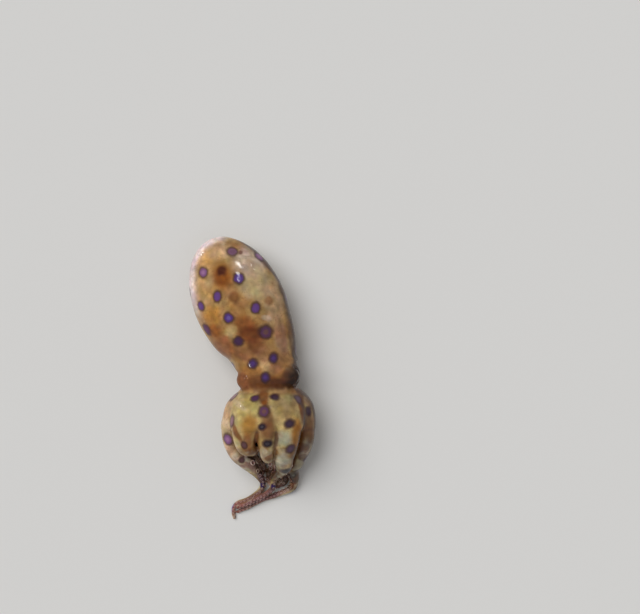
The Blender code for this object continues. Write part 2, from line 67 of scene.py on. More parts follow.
# How softly forms flow into one another, or how round an edge is.
SOFT = {
    "mantle": 0.1, "mantle front": 0.5, "mantle rim": 0.25, "head end": 0.5, "bulge": 1.1, "socket": 0.08,
    "eye fold": 0.5, "lid": 0.45, "lid edge": 0.15, "crown": 1.2, "crown back": 2.2, "crown front": 1.2,
    "hollow": 0.6, "lips": 0.4, "siphon": 0.2, "siphon end": 0.25, "siphon bore": 0.2, "floor": 0.3,
}

# The photograph: a camera that looks straight down on the animal's back.
PHOTO_MIDDLE = (320.0, 307.0)
CAMERA = Vector((15.015, 0.585, 226.0))
FOCAL = 220.0 / 0.195  # pixels, from the scale of 0.195 mm to the pixel at 220 mm
SENSOR = 36.0
# The part of the photograph that the animal lies in: its upper left corner and its size.
ANIMAL_CORNER = (170, 220)
ANIMAL_SIZE = (160, 320)

# Mantle.
MANTLE_MIDLINE = [(-5.9, 14.0), (-4.2, 9.4), (-1.8, 3.9), (0.9, -1.9), (3.2, -6.3), (4.7, -10.7)]
MANTLE_HALF_WIDTH = 8.9
TAIL_ROUND = 14.0
NECK_HALF_WIDTH = 6.0
NECK_AHEAD = Vector((0.12, -1, 0)).normalized()
NECK_FULLNESS = 0.65
FLATNESS = 0.69
MANTLE_MIDDLE_HEIGHT = 5.7
NECK_MIDDLE_HEIGHT = 5.2
NECK_HALF_HEIGHT = 4.9
RIM_THICKNESS = 0.6
POCKET_DEPTH = 1.6

# Head.
HEAD_MIDLINE = [(4.74, -11.0), (5.15, -13.1), (5.3, -15.6)]
HEAD_HALF_WIDTH = (5.6, 5.6, 5.1)
HEAD_HALF_HEIGHT = (4.3, 4.5, 4.3)
HEAD_MIDDLE_HEIGHT = (6.3, 6.7, 6.5)
HEAD_SUNK = 4.5  # how far it runs on inside the mantle, to its size and place there
SUNK_HALF_WIDTH = 3.6
SUNK_HALF_HEIGHT = 2.6
SUNK_MIDDLE = (3.2, 5.6)
HEAD_FRONT_ROUND = 3.4
ROLL = math.radians(9)
EYE_RADIUS = 1.7
EYE_BULGE_RADIUS = 2.45
EYE_BULGE_OUT = {1: 3.5, -1: 3.15}  # at the left and the right
EYE_BULGE_UP = 0.9
EYE_BULGE_FORWARD = 0.4
EYE_BULGE_REACH = 4.6  # how far round its middle a bulge is drawn
EYE_OUT = 1.15
EYE_LIFT = math.radians(25)
LID_THICKNESS = 0.25
LID_OUT = 0.5
LID_CLOSED = {1: 1.2, -1: 0.7}  # how far above the eyeball's middle the upper lid's edge is, left and right
UPPER_LID = 0.36  # thickness
LID_REACH = 3.2  # how far round the eyeball's middle the lids are drawn
CORNEA_BULGE = 0.08
IRIS = 0.72  # its radius over the eyeball's
SLIT = (0.46, 0.16)  # half its length and breadth over the eyeball's radius

# Siphon.
SIPHON_ROUTE = [(4.7, -10.0, 2.45), (4.95, -11.6, 2.3), (5.8, -13.2, 1.95), (6.6, -15.0, 1.5)]
SIPHON_RADIUS = (1.1, 0.9)
SIPHON_BORE = 0.5
SIPHON_BORE_DEPTH = 1.6
SIPHON_BORE_PAST = 1.2
SIPHON_REACH = 2.5  # how far round its middle line it's drawn

# Bud of arms, with stations that run forward from the back of the arm crown.
BUD_START = -15.9
BUD_WIDEST = 7.6
BUD_HALF_WIDTH = 9.0
BUD_HALF_HEIGHT = 7.1
BUD_BACK_WIDTH_LENGTH = 11.5
BUD_BACK_HEIGHT_LENGTH = 10.4
BUD_FRONT_LENGTH = 11.4
BUD_MIDLINE = [(0.0, 5.4), (3.2, 5.2), (8.0, 4.95), (12.3, 5.0), (14.3, 5.6), (16.3, 6.3), (18.3, 6.3)]
CROWN_BACK_HEIGHT = 5.7
CROWN_FRONT_HEIGHT = 6.9
PRESSED = 0.2
CROWN_LENGTH = 7.0
CROWN_UNDER_HEAD = 0.7
HOLLOW_HALF_WIDTH = 2.65
HOLLOW_HALF_HEIGHT = 2.4
HOLLOW_DEPTH = 4.4
GROOVE_START = 1.5  # station where grooves between the arms begin on the crown
GROOVE_RISE = 5.5
GROOVE_DEPTH = 0.45
CROWN_SHORTER = 0.4  # how much short of its length the crown rounds off
LIPS = (0.8, 0.35)  # radius of the ring that they make, and of its section

# Arms.
ARM_HALF_THICKNESS = 1.75
THINNED = 0.33
BUD_FRONT = 16.0
LOOSE_TAPER = [(0.0, 1.0), (0.33, 0.72), (0.46, 0.46), (0.6, 0.26), (1.0, 0.13)]
CURLED_TAPER = [(0.0, 1.0), (0.35, 0.74), (0.6, 0.47), (1.0, 0.15)]
TWIST_SPAN = (0.3, 0.8)
CURL_END = 6.0
CURL_CLOSER = 0.5
GAP = 0.3
STATION_STEP = 1.3
SWEEP_STEP = 0.35
ARM_FULLER = 1.04  # how much fuller an arm is drawn, as its skin sinks in where it joins the others
ARM_REACH = 1.6  # how far beyond its own size a length of an arm is drawn
JOIN_REACH = 3.6  # how far about its middle line an arm is joined to the rest
ARM_ROOTS = (3.4, 4.7, 6.0)  # stations inside the crown that an arm grows through
ARM_PROUD = 0.3  # how far the arms stand out of the crown by its front
ROPE_START = -33.5  # in front of this the loose ends lie together, a little fuller, and cling to one another
ROPE_FULLER = 0.16
ROPE_WEB = 0.4
CLEFT_WEB = 0.9  # how softly the tops of the arms join where they lie side by side in the bud
CLEFT_HEIGHT = 7
ARM_WEB = 0.22
ROOT_WEB = 1.3
ROOT_WEB_LENGTH = 1.1
CURL_WEB = 0.15

# Suckers: two alternating rows along the inner side of each arm.
SUCKER_SHARE = 0.37
SUCKER_LEAST = 0.2
SUCKER_SPACING = 1.9
SUCKER_ROW = 0.46
SUCKER_SPLAY = math.radians(18)
SUCKER_SIDES = 14
SUCKER_VARIES = 0.1
SUCKER_FIRST = 0.4  # how far along the arm the rows begin
SUCKER_OUT = 1.02  # its foot's distance from the arm's middle line over the arm's size
SUCKERLESS_FOLD = 1.6  # how near the fold of a curled arm it has none
TONE_RANGE = (0.06, 1.1)  # of a sucker, on the darkest and the palest skin
TONE_CONTRAST = 0.52
# Half a sucker's section, root to cup: distance from its axis and height, over its radius.
SUCKER_SECTION = [(0.6, -0.5), (0.68, 0.0), (0.88, 0.22), (1.0, 0.44), (0.97, 0.58), (0.82, 0.62),
                  (0.62, 0.5), (0.42, 0.3), (0.2, 0.24)]

# Colours, in sRGB from 0 to 255.
TAN = (164, 128, 84)
BELLY = (196, 178, 152)
# The next two are partly painted light and shade: the pale rim of the mantle's edge where it faces the
# light, and the brown flanks turned from the light.
PALE_AND_LIT_EDGE = (226, 208, 206)
DARK_AND_SHADED_EDGE = (58, 34, 24)
CROWN_TAN = (176, 154, 108)
INNER_PINK = (160, 130, 116)
# Painted shade in the crevices, where parts lie close together.
CREVICE_SHADE = (108, 66, 42)
# Near black round the left eye: partly dark skin, partly painted shade.
EYE_BLACK_AND_SHADE = (34, 24, 22)
EYE_BROWN = (118, 74, 50)
BROWN = (98, 60, 36)
CLOUD = (142, 98, 56)
MILK = (190, 170, 134)
ARM_PALE = (192, 186, 160)
RING_RIM = (64, 38, 40)
SUCKER_PALE = (234, 218, 204)
SUCKER_DARK = (204, 174, 160)
# Painted shade inside a sucker's cup.
SUCKER_CUP_SHADE = (146, 104, 98)
IRIS_DARK = (34, 22, 16)
IRIS_BRONZE = (92, 62, 34)
EYEBALL_DARK = (26, 20, 22)
SLIT_BLACK = (5, 5, 7)

TINT = np.array((0.07, 0.06, 0.15))  # how much red, green and blue wander on their own
LUMINANCE = np.array((0.2126, 0.7152, 0.0722))
RICHER = 1.1  # how much more saturated the skin is than its paints

# Rings by kind: the band and the heart inside it.
RING_KINDS = {
    "violet": ((98, 62, 122), (98, 66, 126)),
    "mauve": ((116, 80, 104), (110, 76, 96)),
    "pale": ((126, 84, 124), (148, 106, 142)),
    "vivid": ((82, 54, 122), (104, 84, 148)),
    "dark": ((72, 44, 72), (76, 48, 80)),
    "black": ((40, 30, 38), (66, 56, 62)),
    "soot": ((24, 18, 20), (28, 22, 24)),
    "open": ((88, 54, 84), (104, 70, 68)),
    "plum": ((90, 48, 82), (94, 54, 90)),
    "blue": ((68, 44, 78), (74, 50, 106)),
    "dim": ((60, 42, 54), (66, 48, 62)),
    "grey": ((84, 62, 78), (94, 72, 88)),
    "rose": ((128, 90, 98), (140, 104, 110)),
    "faint": ((92, 62, 62), (98, 68, 72)),
    "deep": ((56, 32, 84), (52, 40, 88)),
}
# The rings that the photograph shows: place in its pixels, radius in its pixels, kind, how many times longer
# than broad, and the angle of the long way, in degrees clockwise from across.
RINGS = [
    (231.8, 251.4, 5.6, "mauve", 1.1, 0), (259.2, 256.4, 5.8, "pale", 1.1, 60),
    (203.0, 272.4, 5.9, "pale", 1.1, 60), (239.0, 278.0, 5.7, "vivid", 1.0, 0),
    (217.4, 296.3, 5.2, "violet", 1.45, 95), (200.8, 306.2, 5.2, "violet", 1.1, 40),
    (255.7, 308.2, 5.4, "violet", 1.25, 100), (228.5, 318.0, 5.6, "vivid", 1.0, 0),
    (206.6, 329.2, 6.0, "plum", 1.2, 60), (265.7, 332.2, 7.2, "open", 1.0, 0),
    (238.3, 341.2, 5.7, "dark", 1.0, 0), (273.4, 357.8, 5.3, "blue", 1.25, 110),
    (252.6, 363.6, 5.5, "blue", 1.05, 20), (265.3, 377.3, 5.3, "blue", 1.25, 95),
    (255.3, 397.9, 4.7, "dark", 1.05, 150), (274.5, 397.0, 4.9, "dim", 1.15, 0),
    (233.6, 396.5, 5.2, "rose", 1.2, 80), (298.2, 399.0, 5.0, "grey", 1.35, 100),
    (264.1, 411.4, 6.2, "open", 1.0, 0), (308.4, 410.9, 4.6, "dim", 1.2, 90),
    (231.6, 420.6, 5.6, "rose", 1.5, 70), (261.8, 426.8, 4.1, "black", 1.1, 0),
    (289.4, 423.7, 5.4, "dim", 1.25, 160), (227.4, 440.0, 5.8, "pale", 1.1, 60),
    (267.5, 443.9, 5.0, "black", 1.4, 0), (244.4, 445.0, 3.6, "faint", 1.3, 70),
    (290.5, 449.1, 5.2, "grey", 1.15, 120), (241.7, 460.0, 3.6, "faint", 1.0, 0),
    (286.1, 471.7, 5.6, "soot", 1.4, 170), (262.8, 485.0, 3.6, "deep", 1.3, 90),
    (273.9, 486.3, 4.0, "deep", 1.3, 0), (256.0, 501.5, 2.2, "faint", 1.5, 140),
]
# Where panels of light shine back in the photograph: name, place in its pixels, the panel's two sides, its
# power if it shone all ways, and how far about that place its light reaches.
HIGHLIGHTS = [
    ("panel_high", 241, 267, 34, 30, 0.26, 18),
    ("panel_ring", 239, 273.5, 8, 9, 0.014, 8),
    ("panel_left", 202, 253, 56, 26, 0.24, 60),
    ("panel_tail", 224, 244, 20, 24, 0.06, 12),
    ("panel_rim", 190.5, 260, 60, 24, 0.06, 60),
    ("panel_crest", 251, 264, 18, 18, 0.04, 12),
    ("panel_neck", 249.5, 365.5, 20, 18, 0.06, 11),
]
EYE_GLINT = (297.5, 372)
EYE_PANEL = (60, 200, 0.06, 120)
LIGHT_AWAY = 300
SUN_ENERGY = 2.2
SUN_BREADTH = math.radians(50)
SUN_TURN = (math.radians(-24), math.radians(-30), 0)
SKY = (0.97, 0.98, 1.0)
SKY_STRENGTH = 0.34
FLOOR = (0.72, 0.71, 0.69)
FLOOR_ROUGHNESS = 0.7
FLOOR_HALF_WIDTH = 2500

# The rings that the photograph doesn't show.
RING_APART = 4.4  # least distance between them
RING_RADIUS = 1.08
UNSEEN_RING_KINDS = ("violet", "violet", "dark", "pale")

# Noises: the size of their bumps and a seed.
MOTTLE = (2.6, 1)
GRAIN = (0.9, 2)
CLOUDS = (3.4, 5)
VEINS = (1.5, 6)
BLOTCHES = (1.7, 7)
TINTS = ((1.5, 8), (1.5, 9), (1.5, 10))
# Ripples of the skin, and the uneven surface of the arms: a height and a noise.
RIPPLES = ((0.06, (2.2, 3)), (0.012, (0.8, 4)))
ARM_RIPPLES = (0.07, (1.3, 11))

# Patches of colour that the photograph shows: name, place, half-sizes, turn clockwise, colour and strength.
# Some of them are painted shade or a painted highlight, as marked.
PATCHES = [
    ("tail tan", 214, 251, 16, 9, 0, (206, 172, 134), 0.7),
    ("tail crest", 250, 262, 16, 16, 40, (192, 174, 160), 0.7),
    ("orange shoulder", 200, 262, 13, 14, 0, (184, 144, 94), 0.75),
    ("orange flank", 199, 290, 10, 20, -10, (188, 154, 108), 0.7),
    ("stain halo", 223, 276, 12, 13, 0, (152, 98, 46), 0.75),
    ("stain tail", 222, 276, 8, 10, 0, (118, 62, 26), 0.85),
    ("stain", 222, 271, 5.4, 5.2, 0, (66, 28, 18), 0.95),
    ("pale belt", 256, 284, 17, 15, 30, (196, 176, 138), 0.75),
    ("pale right", 274, 306, 9, 22, -12, (186, 156, 122), 0.7),
    ("brown fleck", 234, 297, 6, 5, 0, (106, 62, 34), 0.75),
    ("right fleck", 269, 301, 5, 5, 0, (136, 86, 50), 0.6),
    ("crest fleck", 241, 252.5, 2.4, 2.4, 0, (96, 54, 46), 0.8),
    ("left tan", 212, 316, 9, 10, 0, (188, 138, 76), 0.75),
    ("lower left flank", 225, 347, 9, 13, -40, (142, 84, 56), 0.75),
    ("saddle", 246, 324, 12, 8, 10, (140, 84, 46), 0.8),
    ("saddle middle", 252, 334, 15, 8, 0, (92, 42, 20), 0.85),
    ("saddle front", 257, 347, 12, 9, 20, (102, 52, 30), 0.8),
    ("left saddle", 214, 331, 8, 6, 20, (140, 78, 38), 0.7),
    ("light spot", 231, 331, 5.5, 5.5, 0, (186, 162, 118), 0.8),
    ("pink side", 281, 338, 6, 20, -8, (150, 110, 88), 0.75),
    # Painted shade with the edge's own brown: the dark line along the mantle's right edge, turned from the
    # light.
    ("dark shaded side", 292, 338, 4, 18, -8, (78, 46, 32), 0.6),
    # Painted highlight: a small pale glint on the mantle's right side.
    ("painted side highlight", 267, 318, 5, 2.6, 10, (190, 170, 146), 0.7),
    ("neck tan", 244, 354, 13, 7, 30, (130, 88, 60), 0.8),
    ("neck light", 265, 355, 7, 8, 0, (132, 94, 66), 0.75),
    ("neck right", 280, 362, 9, 7, 0, (118, 86, 58), 0.75),
    ("head brown", 262, 382, 24, 8, 0, (104, 62, 34), 0.92),
    ("head brown left", 278, 384, 9, 6, 0, (72, 40, 28), 0.8),
    ("head middle", 250, 371, 12, 5, 0, (146, 100, 56), 0.7),
    ("head light", 276, 369, 8, 5, 0, (130, 90, 66), 0.65),
    ("right turret", 242, 380, 6, 7, 0, (132, 84, 52), 0.8),
    ("left of the eye", 287, 379, 7, 8, 0, (88, 50, 34), 0.85),
    # The next three paint the left eye's surround near black: partly dark skin, partly painted shade on the
    # side turned from the light.
    ("under the eye", 291, 384, 8, 4, -10, (40, 25, 22), 0.85),
    ("round the eye", 296, 379, 6, 9, 0, (26, 17, 14), 0.92),
    ("brow", 297, 364, 3.4, 9, 0, (20, 12, 10), 0.9),
    ("crown light", 246, 408, 13, 14, 10, (178, 160, 104), 0.75),
    ("crown green", 286, 408, 11, 10, 0, (140, 120, 82), 0.75),
    ("crown brown", 264, 397, 6, 9, 0, (100, 56, 28), 0.88),
    ("crown streak", 238, 404, 2.6, 11, -48, (194, 174, 136), 0.8),
    ("crown milk", 287, 401, 6, 8, 20, (164, 148, 108), 0.7),
    ("crown right", 293, 400, 4, 8, 0, (108, 86, 56), 0.55),
    ("crown middle", 267, 417, 6.5, 12, 0, (112, 74, 44), 0.8),
    ("crown dash", 264, 402.5, 3, 3.2, 0, (118, 66, 26), 0.8),
    ("crown orange", 249, 426, 7.5, 11, 8, (162, 120, 62), 0.85),
    # Painted shade in the cleft between two arms.
    ("left cleft", 256.5, 441, 2.4, 12, 6, (62, 32, 18), 0.9),
    ("crown front", 268, 431, 8, 9, 0, (128, 82, 52), 0.8),
    ("right seam", 302, 406, 3.2, 24, -8, (108, 62, 26), 0.95),
    ("right seam low", 301, 446, 2.6, 18, 10, (100, 58, 30), 0.9),
    ("right arm band", 297, 436, 5, 16, 6, (164, 108, 44), 0.8),
    ("left edge", 226, 412, 5, 16, 14, (190, 152, 122), 0.7),
    # Brown along the groove between the left arm and the crown, partly painted shade.
    ("left seam", 237, 434, 2.4, 15, -24, (108, 62, 34), 0.85),
    ("far right arm", 309, 428, 5, 22, 0, (98, 70, 54), 0.85),
    ("far right high", 309, 399, 5, 11, -10, (120, 92, 72), 0.8),
    ("far right low", 305, 452, 6, 12, 10, (108, 92, 86), 0.85),
    # Painted shade at the far right arm's end, by the hook.
    ("far right end", 299, 471, 7, 8, 0, (40, 26, 20), 0.9),
    ("left arm high", 225, 428, 6, 10, 0, (206, 184, 152), 0.8),
    ("left arm", 228, 450, 9, 12, -30, (206, 174, 146), 0.8),
    ("left arm low", 246, 464, 12, 6, 25, (140, 112, 104), 0.8),
    ("left arm white", 247, 459, 4, 2.6, 10, (212, 204, 190), 0.8),
    ("left arm mottle", 237, 457, 4, 3, 20, (196, 168, 146), 0.7),
    ("front lobe", 247, 444, 6, 11, 0, (132, 82, 46), 0.8),
    ("front lobe end", 250, 452, 4, 4, 0, (110, 64, 40), 0.6),
    ("middle arm end", 267, 456, 6, 6, 0, (128, 94, 72), 0.85),
    ("middle arm white", 265, 451.5, 3, 3, 0, (190, 172, 150), 0.75),
    ("right lobe", 283, 439, 7, 8, 10, (164, 164, 142), 0.85),
    ("right lobe low", 281, 461, 7, 7, 0, (184, 178, 154), 0.85),
    ("right lobe band", 281, 450, 6, 2, -15, (112, 92, 66), 0.75),
    ("right lobe side", 293, 456, 3.5, 13, 8, (116, 76, 42), 0.8),
    # Painted shade in the cleft between two arms.
    ("right cleft", 275.8, 441, 2.2, 11, 4, (70, 48, 36), 0.85),
    # Painted shade in the dark hollow under the lobes.
    ("shade under the lobes", 270, 474, 12, 7, 0, (46, 32, 28), 0.9),
    ("rope root", 262, 479, 4, 9, 0, (84, 58, 70), 0.8),
    ("rope back", 281, 487, 8, 4, 0, (62, 42, 42), 0.85),
    ("rope", 262, 497, 26, 7, -22, (98, 64, 66), 0.9),
    ("rope end", 238, 508, 7, 8, 0, (124, 76, 72), 0.9),
    # Painted shade on the curled arm end in the hollow.
    ("hook", 291, 480, 9, 8, 0, (30, 17, 13), 0.95),
    ("hook edge", 294.5, 486, 4, 4, 20, (100, 56, 30), 0.85),
]


class Arm:
    """One arm: its place round the bud, its size, and where its far part goes, as in the CAD source."""

    def __init__(self, name, clock, half_width, drift=0.0, sunk=0.0, turn=None, inside=None, leave=None,
                 route=(), twist=0.0, full=False):
        self.name = name
        self.clock = clock
        self.half_width = half_width
        self.drift = drift
        self.sunk = sunk
        self.turn = turn
        self.inside = inside
        self.leave = leave
        self.route = route
        self.twist = twist
        self.taper = CURLED_TAPER if turn or full else LOOSE_TAPER


ARMS = [
    Arm("arm_left_1", 91, 1.7, sunk=0.3, turn=10.6, inside=(0.4, 1.35)),
    Arm("arm_right_1", 127.5, 2.35, turn=9.0, inside=(-1.9, 1.3)),
    Arm("arm_right_3", -132, 1.8, leave=14.2, full=True,
        route=[(3.55, -31.2, 1.4), (3.6, -32.1, 0.95), (2.95, -32.5, 0.7), (2.35, -31.7, 0.55),
               (2.1, -30.6, 0.45)]),
    Arm("arm_left_4", -53, 1.8, leave=14.4, full=True,
        route=[(8.15, -32.3, 1.45), (8.15, -33.7, 1.1), (7.4, -34.6, 0.9), (6.65, -33.9, 0.75),
               (6.7, -32.6, 0.65), (7.0, -31.5, 0.55)]),
    Arm("arm_right_4", -92, 1.95, leave=15.2, full=True,
        route=[(5.1, -32.4, 1.0), (4.85, -33.8, 0.9), (5.5, -34.9, 0.75), (6.7, -35.3, 0.55)]),
    Arm("arm_left_2", 55, 2.25, drift=9, leave=14.8, twist=195,
        route=[(5.9, -33.2, 3.1), (5.55, -35.3, 2.0), (4.2, -36.65, 1.5), (2.4, -37.65, 1.33),
               (0.6, -38.55, 1.27), (-0.7, -39.05, 1.07), (-1.4, -39.45, 0.87)]),
    Arm("arm_right_2", 178, 2.05, drift=-22, leave=14.6, twist=105,
        route=[(3.5, -33.8, 1.8), (3.3, -35.6, 1.0), (1.9, -37.1, 0.5), (0.3, -38.0, 0.45),
               (-1.3, -38.5, 0.4), (-2.2, -39.4, 0.35), (-2.3, -40.8, 0.3), (-2.1, -41.6, 0.3)]),
    Arm("arm_left_3", 2.5, 1.88, leave=15.2, twist=-60,
        route=[(10.0, -33.4, 2.2), (9.8, -34.9, 1.2), (9.0, -35.8, 0.8), (7.7, -36.4, 0.6),
               (5.3, -37.3, 0.5), (3.5, -37.9, 0.45), (1.9, -38.8, 0.4), (0.3, -39.65, 0.35),
               (-0.8, -40.05, 0.3), (-1.4, -40.4, 0.3)]),
]


def smooth_through(points, step):
    """Points every step or so along a smooth curve through the given ones."""
    given = np.array(points, float)
    padded = np.vstack([2 * given[0] - given[1], given, 2 * given[-1] - given[-2]])
    dense = []
    for before, start, end, after in zip(padded, padded[1:], padded[2:], padded[3:]):
        for t in np.linspace(0, 1, 24, endpoint=False):
            square = 2 * before - 5 * start + 4 * end - after
            cube = 3 * start - before - 3 * end + after
            dense.append(0.5 * (2 * start + (end - before) * t + square * t ** 2 + cube * t ** 3))
    dense.append(given[-1])
    dense = np.array(dense)
    along = lengths_along(dense)
    places = np.linspace(0, along[-1], max(2, round(along[-1] / step) + 1))
    return np.array([[np.interp(place, along, axis) for axis in dense.T] for place in places])


def lengths_along(points):
    return np.concatenate([[0], np.cumsum(np.linalg.norm(np.diff(points, axis=0), axis=1))])


def ease(share):
    """0 below 0 and 1 above 1, with a smooth rise between."""
    share = np.clip(share, 0, 1)
    return share * share * (3 - 2 * share)


def read(table, place):
    """The value at a place in a table of (place, value) pairs, eased between them."""
    places = [row[0] for row in table]
    index = int(np.clip(np.searchsorted(places, place) - 1, 0, len(table) - 2))
    (low, start), (high, end) = table[index], table[index + 1]
    return start + (end - start) * float(ease((place - low) / (high - low)))


def soft_min(first, second, soft):
    """The lesser of two distances, rounded over a reach of soft where they are alike."""
    alike = np.maximum(soft - np.abs(first - second), 0) / soft
    return np.minimum(first, second) - alike * alike * soft / 4


def soft_max(first, second, soft):
    return -soft_min(-first, -second, soft)


def ahead_of(x, y, z, start, ahead):
    """How far points lie ahead of a start, in a direction."""
    return (x - start[0]) * ahead[0] + (y - start[1]) * ahead[1] + (z - start[2]) * ahead[2]


def square_away(x, y, z, centre):
    return (x - centre[0]) ** 2 + (y - centre[1]) ** 2 + (z - centre[2]) ** 2


def ball_distance(x, y, z, centre, radius):
    return np.sqrt(square_away(x, y, z, centre)) - radius


def ring_distance(x, y, z, centre, axis, major, minor):
    """The distance to a ring of round section that stands square to an axis."""
    reach = ahead_of(x, y, z, centre, axis)
    across = np.sqrt(np.maximum(square_away(x, y, z, centre) - reach ** 2, 0))
    return np.sqrt((across - major) ** 2 + reach ** 2) - minor


def ellipse_distance(offsets, radii):
    """About how far points are from an ellipse or ellipsoid, from their offsets along its axes."""
    share = np.sqrt(sum((offset / radius) ** 2 for offset, radius in zip(offsets, radii))) + 1e-5
    slope = np.sqrt(sum((offset / radius ** 2) ** 2 for offset, radius in zip(offsets, radii))) + 1e-5
    return share * (share - 1) / slope


class Grid:
    """Distances to the body on a regular grid. They are negative inside it."""

    def __init__(self, low, high, cell):
        self.low = np.array(low, float)
        self.cell = cell
        self.axes = [np.arange(a, b, cell) for a, b in zip(low, high)]
        self.values = np.full([len(axis) for axis in self.axes], FAR, np.float32)

    def window(self, low, high):
        """The part of the grid inside a box: its slices, and x, y and z ready to broadcast."""
        spans = tuple(slice(*np.searchsorted(axis, (a, b))) for axis, a, b in zip(self.axes, low, high))
        x, y, z = (axis[span] for axis, span in zip(self.axes, spans))
        return spans, x[:, None, None], y[None, :, None], z[None, None, :]

    def window_round(self, points, margin):
        """The part of the grid about some points."""
        points = np.array(points)
        return self.window(points.min(axis=0) - margin, points.max(axis=0) + margin)

    def join(self, spans, distance, soft):
        self.values[spans] = soft_min(self.values[spans], distance, soft)

    def cut(self, spans, distance, soft):
        self.values[spans] = soft_max(self.values[spans], -distance, soft)

    def sample(self, points):
        """The distances at any points, from the eight grid points round each."""
        place = (points - self.low) / self.cell
        size = np.array(self.values.shape)
        place = np.clip(place, 0, size - 1.001)
        whole = place.astype(int)
        part = place - whole
        total = np.zeros(len(points))
        for corner in np.ndindex(2, 2, 2):
            weight = np.prod(np.where(corner, part, 1 - part), axis=1)
            i, j, k = (whole + corner).T
            total += weight * self.values[i, j, k]
        return total

    def slope(self, points):
        """The unit direction in which distance grows fastest."""
        step = self.cell * 0.6
        slopes = np.stack([self.sample(points + step * axis) - self.sample(points - step * axis)
                           for axis in np.eye(3)], axis=1)
        return slopes / np.maximum(np.linalg.norm(slopes, axis=1, keepdims=True), 1e-9)


def mantle_half_width(place, length):
    """Half the mantle's width past its rounded tail end, at a distance from the end."""
    share = np.clip((place - TAIL_ROUND) / (length - TAIL_ROUND), 0, 1)
    eased = ((1 + np.cos(np.pi * share)) / 2) ** NECK_FULLNESS
    return NECK_HALF_WIDTH + (MANTLE_HALF_WIDTH - NECK_HALF_WIDTH) * eased


def nearest_on(line, x, y):
    """For points in plan: how far along a line their nearest place on it is, and how far to its side."""
    along = lengths_along(line)
    best = np.full(np.broadcast(x, y).shape, 1e9)
    place, side = np.zeros_like(best), np.zeros_like(best)
    for i, (start, end) in enumerate(zip(line, line[1:])):
        ahead = (end - start) / np.linalg.norm(end - start)
        reach = (x - start[0]) * ahead[0] + (y - start[1]) * ahead[1]
        low = -99 if i == 0 else 0
        high = 99 if i == len(line) - 2 else along[i + 1] - along[i]
        held = np.clip(reach, low, high)
        away = (x - start[0] - ahead[0] * held) ** 2 + (y - start[1] - ahead[1] * held) ** 2
        off = (x - start[0]) * ahead[1] - (y - start[1]) * ahead[0]
        nearer = away < best
        best = np.where(nearer, away, best)
        place = np.where(nearer, along[i] + held, place)
        side = np.where(nearer, off, side)
    return place, side


def add_mantle(grid):
    """The mantle, with the pocket inside its free lower rim."""
    line = smooth_through([(x, y, 0) for x, y in MANTLE_MIDLINE], 0.4)[:, :2]
    length = lengths_along(line)[-1]
    spans, x, y, z = grid.window(*MANTLE_BOX)
    place, side = nearest_on(line, x, y)
    neck = np.clip((place - TAIL_ROUND) / (length - TAIL_ROUND), 0, 1.2) ** 2
    half_width = mantle_half_width(place, length)
    half_height = half_width * FLATNESS * (1 - neck) + NECK_HALF_HEIGHT * neck
    middle = MANTLE_MIDDLE_HEIGHT * (1 - neck) + NECK_MIDDLE_HEIGHT * neck
    tail = np.maximum(TAIL_ROUND - place, 0)
    mantle = ellipse_distance((side, z - middle, tail), (half_width, half_height, TAIL_ROUND))
    beyond = (x - MANTLE_MIDLINE[-1][0]) * NECK_AHEAD.x + (y - MANTLE_MIDLINE[-1][1]) * NECK_AHEAD.y
    shut = soft_max(mantle, beyond + 0 * z, SOFT["mantle front"])
    lower = ease((middle + 0.6 - z) / 2.4)
    pocket = np.maximum(mantle + RIM_THICKNESS, -beyond - POCKET_DEPTH * lower)
    shut = soft_max(shut, -pocket, SOFT["mantle rim"])
    grid.join(spans, shut, SOFT["mantle"])


def head_frame():
    """The head's own sideways and upward directions, rolled to the animal's right."""
    turn = Matrix.Rotation(-ROLL, 3, "Y")
    return turn @ Vector((1, 0, 0)), turn @ Vector((0, 0, 1))


def eye_place(side):
    """The bulge's middle, the eyeball's middle and the way the eye looks. side is 1 at the left."""
    across, up = head_frame()
    bulge = Vector((*HEAD_MIDLINE[1], HEAD_MIDDLE_HEIGHT[1]))
    bulge += across * (side * EYE_BULGE_OUT[side]) + up * EYE_BULGE_UP
    bulge.y += side * EYE_BULGE_FORWARD
    look = (across * (side * math.cos(EYE_LIFT)) + up * math.sin(EYE_LIFT)).normalized()
    return bulge, bulge + look * EYE_OUT, look


def add_head(grid):
    """The head block. It runs on under the mantle behind and ends in a rounded edge over the arm crown."""
    across, up = head_frame()
    spans, x, y, z = grid.window(*HEAD_BOX)
    ys = [point[1] for point in HEAD_MIDLINE][::-1]
    ys.append(ys[-1] + HEAD_SUNK)
    middle_x = np.interp(y, ys, [*(point[0] for point in HEAD_MIDLINE[::-1]), SUNK_MIDDLE[0]])
    middle_z = np.interp(y, ys, [*HEAD_MIDDLE_HEIGHT[::-1], SUNK_MIDDLE[1]])
    half_width = np.interp(y, ys, [*HEAD_HALF_WIDTH[::-1], SUNK_HALF_WIDTH])
    half_height = np.interp(y, ys, [*HEAD_HALF_HEIGHT[::-1], SUNK_HALF_HEIGHT])
    sideways = (x - middle_x) * across.x + (z - middle_z) * across.z
    upward = (x - middle_x) * up.x + (z - middle_z) * up.z
    head = ellipse_distance((sideways, upward), (half_width, half_height))
    head = soft_max(head, HEAD_MIDLINE[-1][1] - 0.1 - y, HEAD_FRONT_ROUND)
    head = soft_max(head, y - ys[-1], SOFT["head end"])
    softer_above = 0.25 + 2.2 * ease((z - 4.5) / 3.5)
    grid.join(spans, head, softer_above)
    for side in (1, -1):
        bulge = eye_place(side)[0]
        spans, x, y, z = grid.window_round([bulge], EYE_BULGE_REACH)
        grid.join(spans, ball_distance(x, y, z, bulge, EYE_BULGE_RADIUS), SOFT["bulge"])


